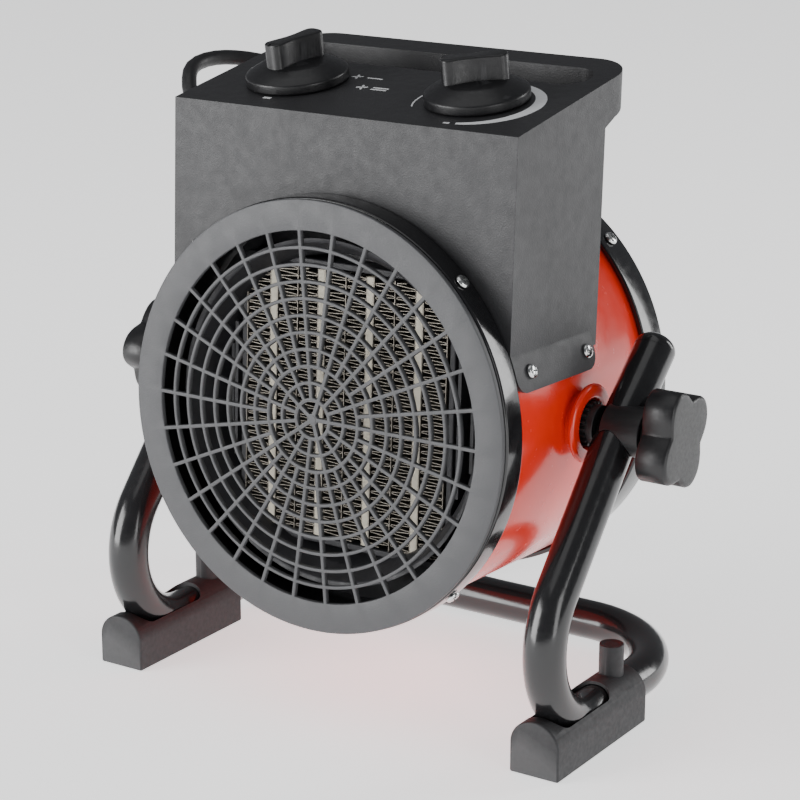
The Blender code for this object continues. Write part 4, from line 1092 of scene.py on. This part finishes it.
LOBES = (-34, 34, 146, 214)            # degrees from +Z towards +Y
WAISTS = (15.0, 12.5)                  # between near lobes, between far lobes


def lobe_radius(angle, scale=1.0):
    """Outline of the four-lobed clamp knob: two pairs of broad lobes and round scallops."""
    degrees = math.degrees(angle)
    for k, start in enumerate(LOBES):
        width = (LOBES[(k + 1) % 4] - start) % 360
        along = (degrees - start) % 360
        if along < width:
            wave = (1 + math.cos(2 * math.pi * along / width)) / 2
            waist = WAISTS[k % 2]
    return (waist + (19.4 - waist) * wave ** 0.75) * MM * scale


def make_clamp(side, sign, twist):
    """Clamp knob, bolt, toothed washer and the red boss they press on."""
    mirror = Matrix.Rotation(0 if sign == 1 else math.pi, 4, "Z")
    count = 192
    hub_start = SADDLE_END + GAP
    face = 124 * MM
    lobes = 111.3 * MM
    rows = [("round", 3.4, hub_start), ("round", 7.8, hub_start),
            ("round", 8.1, hub_start + 0.4 * MM), ("round", 8.1, lobes),
            ("lobed", 0.90, lobes), ("lobed", 0.97, lobes + 0.35 * MM),
            ("lobed", 1.0, lobes + 1.2 * MM), ("lobed", 1.0, face - 1.3 * MM),
            ("lobed", 0.975, face - 0.45 * MM), ("lobed", 0.935, face - 0.05 * MM),
            ("lobed", 0.88, face), ("lobed", 0.5, face)]
    bm = bmesh.new()
    rings = []
    for kind, size, x in rows:
        ring = []
        for i in range(count):
            angle = 2 * math.pi * i / count
            radius = size * MM if kind == "round" else lobe_radius(angle, size)
            ring.append(bm.verts.new((x, radius * math.sin(angle), radius * math.cos(angle))))
        rings.append(ring)
    for upper, lower in zip(rings, rings[1:]):
        for i in range(count):
            j = (i + 1) % count
            bm.faces.new((upper[i], upper[j], lower[j], lower[i]))
    bm.faces.new(rings[0])
    bm.faces.new(rings[-1])
    knob = object_from(bm, "clamp_" + side, 40)
    knob = moved(knob, mirror @ Matrix.Rotation(twist, 4, "X"))
    settle(knob, "knob", "clamp_" + side, "knob_plastic", "clamp_knob_" + side)

    seat = DRUM_RADIUS - 3.0 * MM
    profile = [(0, hub_start + 4 * MM), (3 * MM, hub_start + 4 * MM), (3 * MM, seat),
               (5.5 * MM, seat), (5.5 * MM, seat - 3.5 * MM), (0, seat - 3.5 * MM)]
    bolt = turned("bolt_" + side, rounded(profile, 0.3 * MM), "X", 40)
    settle(moved(bolt, mirror), "zinc", "head", "zinc", "pivot_bolt_" + side)

    boss_face = 85 * MM
    profile = [(9.2 * MM, boss_face - 2.6 * MM), (9.6 * MM, boss_face - 0.6 * MM),
               (10.4 * MM, boss_face), (14.0 * MM, boss_face), (15.0 * MM, boss_face - 0.9 * MM),
               (15.0 * MM, boss_face - 2.0 * MM), (14.2 * MM, boss_face - 2.8 * MM),
               (11.5 * MM, boss_face - 3.2 * MM), (11.5 * MM, 76 * MM), (9.2 * MM, 76 * MM)]
    boss = turned("boss_" + side, rounded(profile, 0.4 * MM, 3, ring=True), "X", 96, ring=True)
    settle(moved(boss, mirror), "enamel", "head", "red_enamel", "pivot_boss_" + side)

    teeth = 20
    outline = []
    for i in range(teeth):
        for part, radius in ((0.0, 8.8), (0.25, 8.8), (0.5, 7.2), (0.75, 7.2)):
            angle = 2 * math.pi * (i + part) / teeth
            outline.append((radius * MM * math.cos(angle), radius * MM * math.sin(angle)))
    star = prism("star", outline, "X", boss_face - 2.4 * MM, boss_face + 0.9 * MM)
    near, far = boss_face - 2 * MM, ARM_X - TUBE_RADIUS + 0.6 * MM
    wide = 7.6 * MM
    profile = [(0, far), (wide, far), (wide, near), (0, near)]
    spacer = turned("spacer", rounded(profile, 0.4 * MM), "X", 48)
    washer = together("toothed_washer_" + side, [star, spacer])
    settle(moved(washer, mirror), "plain", "head", "black_plastic", "pivot_washer_" + side)


# ------------------------------------------------------- heater, fan and motor

PTC_FRONT = -40 * MM
PTC_BACK = -25 * MM
PTC_HALF_WIDTH = 45 * MM
PTC_HALF_HEIGHT = 52 * MM
BAR_WIDTH = 3 * MM
BAR_STEP = 21.8 * MM


def fin_strip(low, high, waves, phase):
    """One corrugated strip between two walls, as a closed ribbon."""
    per_wave = 8
    count = waves * per_wave
    half = 0.16 * MM
    middle = (low + high) / 2
    swing = (high - low) / 2 - half
    points = []
    for i in range(count + 1):
        t = i / count
        z = -PTC_HALF_HEIGHT + 0.6 * MM + (2 * PTC_HALF_HEIGHT - 1.2 * MM) * t
        turn = 2 * math.pi * (waves * t + phase)
        points.append((middle + swing * math.tanh(2.2 * math.sin(turn)) / math.tanh(2.2), z))
    left = []
    right = []
    for i, here in enumerate(points):
        before = points[max(0, i - 1)]
        after = points[min(count, i + 1)]
        along = Vector((after[0] - before[0], after[1] - before[1])).normalized()
        left.append((here[0] - along.y * half, here[1] + along.x * half))
        right.append((here[0] + along.y * half, here[1] - along.x * half))
    return prism("fin", left + right[::-1], "Y", PTC_FRONT + 0.5 * MM, PTC_BACK - 0.5 * MM, 60)


def make_heating_block():
    """Ceramic bars, corrugated fins either side of thin plates, and the duct round them."""
    middles = [BAR_STEP * (i - 1.5) for i in range(4)]
    for i, x in enumerate(middles):
        outline = rounded_rectangle(BAR_WIDTH / 2, PTC_HALF_HEIGHT, 0.5 * MM, 4, (x, 0))
        bar = prism("bar_{}".format(i + 1), outline, "Y", PTC_FRONT, PTC_BACK)
        settle(softened(bar, 0.35 * MM, 2), "ceramic", "head", "ceramic",
               "ptc_bar_{}".format(i + 1))
    plate = 0.35 * MM
    edges = [-PTC_HALF_WIDTH] + [x + s * (BAR_WIDTH / 2 + 0.1 * MM)
                                 for x in middles for s in (-1, 1)] + [PTC_HALF_WIDTH]
    for i in range(5):
        low, high = edges[2 * i], edges[2 * i + 1]
        walls = [low, high] if i in (0, 4) else [low, (low + high) / 2, high]
        pieces = []
        for k, (a, b) in enumerate(zip(walls, walls[1:])):
            pieces.append(fin_strip(a + plate, b - plate, 40, 0.5 * ((i + k) % 2)))
        for x in walls:
            pieces.append(block("plate", (x - plate / 2, PTC_FRONT + 0.1 * MM, -PTC_HALF_HEIGHT),
                                (x + plate / 2, PTC_BACK, PTC_HALF_HEIGHT)))
        settle(together("fins_{}".format(i + 1), pieces, 60), "fins", "head", "fin_aluminium",
               "fin_pack_{}".format(i + 1))

    make_duct()
    cutout_low, cutout_high = local_box("thermal_cutout", HEAD)
    middle = (cutout_low + cutout_high) / 2
    profile = [(0, cutout_high.y), (5 * MM, cutout_high.y), (5 * MM, cutout_high.y - 2 * MM),
               (8 * MM, cutout_high.y - 2.4 * MM), (8 * MM, cutout_low.y), (0, cutout_low.y)]
    cutout = turned("cutout", rounded(profile, 0.4 * MM), "Y", 48)
    settle(moved(cutout, Matrix.Translation((middle.x, 0, middle.z))), "zinc", "head", "zinc",
           "thermal_cutout")


def make_duct():
    """Baffle, sleeve and the flared duct wall seen beside the heating block."""
    reach = 77.0 * MM
    wall = 2.2 * MM
    baffle = turned("baffle", [(0, -27 * MM), (reach, -27 * MM), (reach, -30 * MM), (0, -30 * MM)],
                    "Y", 128)
    sleeve = prism("sleeve", rounded_rectangle(PTC_HALF_WIDTH + 1 * MM + wall,
                                               PTC_HALF_HEIGHT + 1 * MM + wall, 4 * MM),
                   "Y", PTC_FRONT + 1 * MM, -20 * MM)
    combined(baffle, sleeve, "UNION")
    outline = rounded_rectangle(PTC_HALF_WIDTH + 0.6 * MM, PTC_HALF_HEIGHT + 0.6 * MM, 1 * MM)
    window = prism("window", outline, "Y", -70 * MM, 0)
    combined(baffle, window, "DIFFERENCE")
    softened(baffle, 0.6 * MM, 3, angle=50)
    flare = in_mm((66.5, -51), (64.5, -50.5), (60, -42), (57.5, -30.2), (60, -30.2), (62.5, -42))
    funnel = turned("funnel", rounded(flare, 0.6 * MM, 3, ring=True), "Y", 160, ring=True)
    ribs = []
    for sign in (-1, 1):
        for x, depth in ((50.5, 9.0), (54.5, 6.0)):
            tall = math.sqrt(57 ** 2 - x ** 2)
            ribs.append(block("rib", ((sign * x - 0.7) * MM, (-30.2 - depth) * MM, -tall * MM),
                              ((sign * x + 0.7) * MM, -30.2 * MM, tall * MM)))
    duct = together("air_duct", [baffle, funnel] + ribs, 40)
    settle(duct, "duct", "head", "dark_plastic", "ptc_frame")


def make_fan():
    """Fan with twisted blades on its shaft."""
    low, high = local_box("fan_rotor", HEAD)
    front, back = low.y + 1.5 * MM, high.y - 1.0 * MM
    middle = (front + back) / 2
    blades = []
    sections = 10
    chord_points = 12
    for i in range(7):
        bm = bmesh.new()
        rings = []
        for k in range(sections + 1):
            share = k / sections
            radius = 11 * MM + share * (63 - 11) * MM
            chord = (11 + 24 * math.sin(math.pi * (0.12 + 0.72 * share))) * MM
            pitch = math.radians(48 - 26 * share)
            sweep = math.radians(14) * share ** 1.5
            ring = []
            for side in (1, -1):
                for c in range(chord_points):
                    u = c / (chord_points - 1) if side == 1 else 1 - c / (chord_points - 1)
                    camber = 1.9 * MM * math.sin(math.pi * u)
                    half = 0.75 * MM * math.sqrt(max(0.02, math.sin(math.pi * u)))
                    a = (u - 0.5) * chord
                    b = camber + side * half
                    along = a * math.cos(pitch) - b * math.sin(pitch)
                    depth = a * math.sin(pitch) + b * math.cos(pitch)
                    turn = sweep + along / radius
                    depth = max(-9 * MM, min(9 * MM, depth * 0.75))
                    ring.append(bm.verts.new((radius * math.sin(turn), middle + depth,
                                              radius * math.cos(turn))))
            rings.append(ring)
        for upper, lower in zip(rings, rings[1:]):
            for c in range(len(upper)):
                after = (c + 1) % len(upper)
                bm.faces.new((upper[c], upper[after], lower[after], lower[c]))
        bm.faces.new(rings[0])
        bm.faces.new(rings[-1])
        blade = object_from(bm, "blade", 50)
        blades.append(moved(blade, Matrix.Rotation(2 * math.pi * i / 7, 4, "Y")))
    profile = [(1.9 * MM, back), (12.4 * MM, back), (13 * MM, back - 1 * MM),
               (13 * MM, front + 3 * MM), (11 * MM, front), (1.9 * MM, front)]
    hub = turned("hub", rounded(profile, 0.8 * MM, 4, ring=True), "Y", 64, ring=True)
    settle(together("fan_wheel", [hub] + blades, 50), "duct", "fan", "dark_plastic", "fan_rotor")
    low, high = local_box("motor_shaft", HEAD)
    radius = 1.55 * MM
    profile = [(0, high.y), (radius, high.y), (radius, low.y), (0, low.y)]
    shaft = turned("shaft", rounded(profile, 0.4 * MM), "Y", 32)
    settle(shaft, "steel", "fan", "zinc", "motor_shaft")


def make_motor():
    """Motor can with end bells and windings, on a three-armed bracket."""
    low, high = local_box("motor_bracket", HEAD)
    ring = turned("ring", [(6 * MM, low.y), (6 * MM, high.y), (27 * MM, high.y), (27 * MM, low.y)],
                  "Y", 96, ring=True)
    arms = []
    for i in range(3):
        reach = 76.4 * MM
        outline = [(-8 * MM, 22 * MM), (8 * MM, 22 * MM), (5.5 * MM, 40 * MM), (5.5 * MM, reach),
                   (-5.5 * MM, reach), (-5.5 * MM, 40 * MM)]
        arm = prism("arm", outline, "Y", low.y + 0.1 * MM, high.y - 0.1 * MM)
        softened(arm, 0.4 * MM, 2)
        rib = block("rib", (-1.2 * MM, high.y - 0.2 * MM, 26 * MM),
                    (1.2 * MM, high.y + 4 * MM, 72 * MM))
        softened(rib, 0.4 * MM, 2)
        turn = Matrix.Rotation(2 * math.pi * i / 3 + math.pi, 4, "Y")
        arms += [moved(arm, turn), moved(rib, turn)]
    settle(together("spider", [softened(ring, 0.3 * MM, 2)] + arms), "steel", "head", "zinc",
           "motor_bracket")
    low, high = local_box("motor", HEAD)
    start, stop = low.y, high.y
    profile = [(0, stop), (6 * MM, stop), (8 * MM, stop - 1 * MM), (9 * MM, stop - 6 * MM),
               (20 * MM, stop - 7 * MM), (22.6 * MM, stop - 9 * MM), (22.6 * MM, start + 5 * MM),
               (20 * MM, start + 3 * MM), (9 * MM, start + 2.6 * MM), (8 * MM, start),
               (2.2 * MM, start)]
    can = turned("can", rounded(profile, 0.8 * MM, 4), "Y", 96)
    grooves = []
    for i in range(9):
        y = start + 8 * MM + 1.4 * MM * i
        grooves.append(turned("plate", [(22.0 * MM, y), (23.0 * MM, y), (23.0 * MM, y - 0.9 * MM),
                                        (22.0 * MM, y - 0.9 * MM)], "Y", 96, ring=True))
    settle(together("motor_can", [can] + grooves, 40), "steel", "head", "zinc", "motor")
    coils = []
    for i in range(4):
        loop = [Vector((14.5 * MM + 4.2 * MM * math.cos(a), stop - 5.2 * MM,
                        8.5 * MM * math.sin(a))) for a in
                (2 * math.pi * k / 40 for k in range(40))]
        coil = swept("coil", loop, round_section(1.7 * MM, 12), closed=True)
        coils.append(moved(coil, Matrix.Rotation(math.pi / 2 * i, 4, "Y")))
    settle(together("motor_windings", coils, 60), "copper", "head", "zinc")


def finish_hidden():
    """Give the pieces inside the housing their finishes."""
    for node, look in (("rotary_switch", "duct"), ("thermostat", "steel"),
                       ("terminal_block", "plain")):
        mesh = frame["nodes"][node].data
        mesh.materials.clear()
        mesh.materials.append(LOOKS[look])


# ------------------------------------------------------------------------ main

LOOKS = make_looks()
make_camera()
make_cord()
make_studio()
make_stand()
make_drum()
make_grille()
make_screws()
make_housing()
make_prints()
make_panel_knob("selector_knob", "selector", -1, math.radians(75))
make_panel_knob("thermostat_knob", "thermostat_dial", 1, math.radians(38))
make_clamp("right", 1, math.radians(-15.5))
make_clamp("left", -1, math.radians(53.5))
make_heating_block()
make_fan()
make_motor()
finish_hidden()
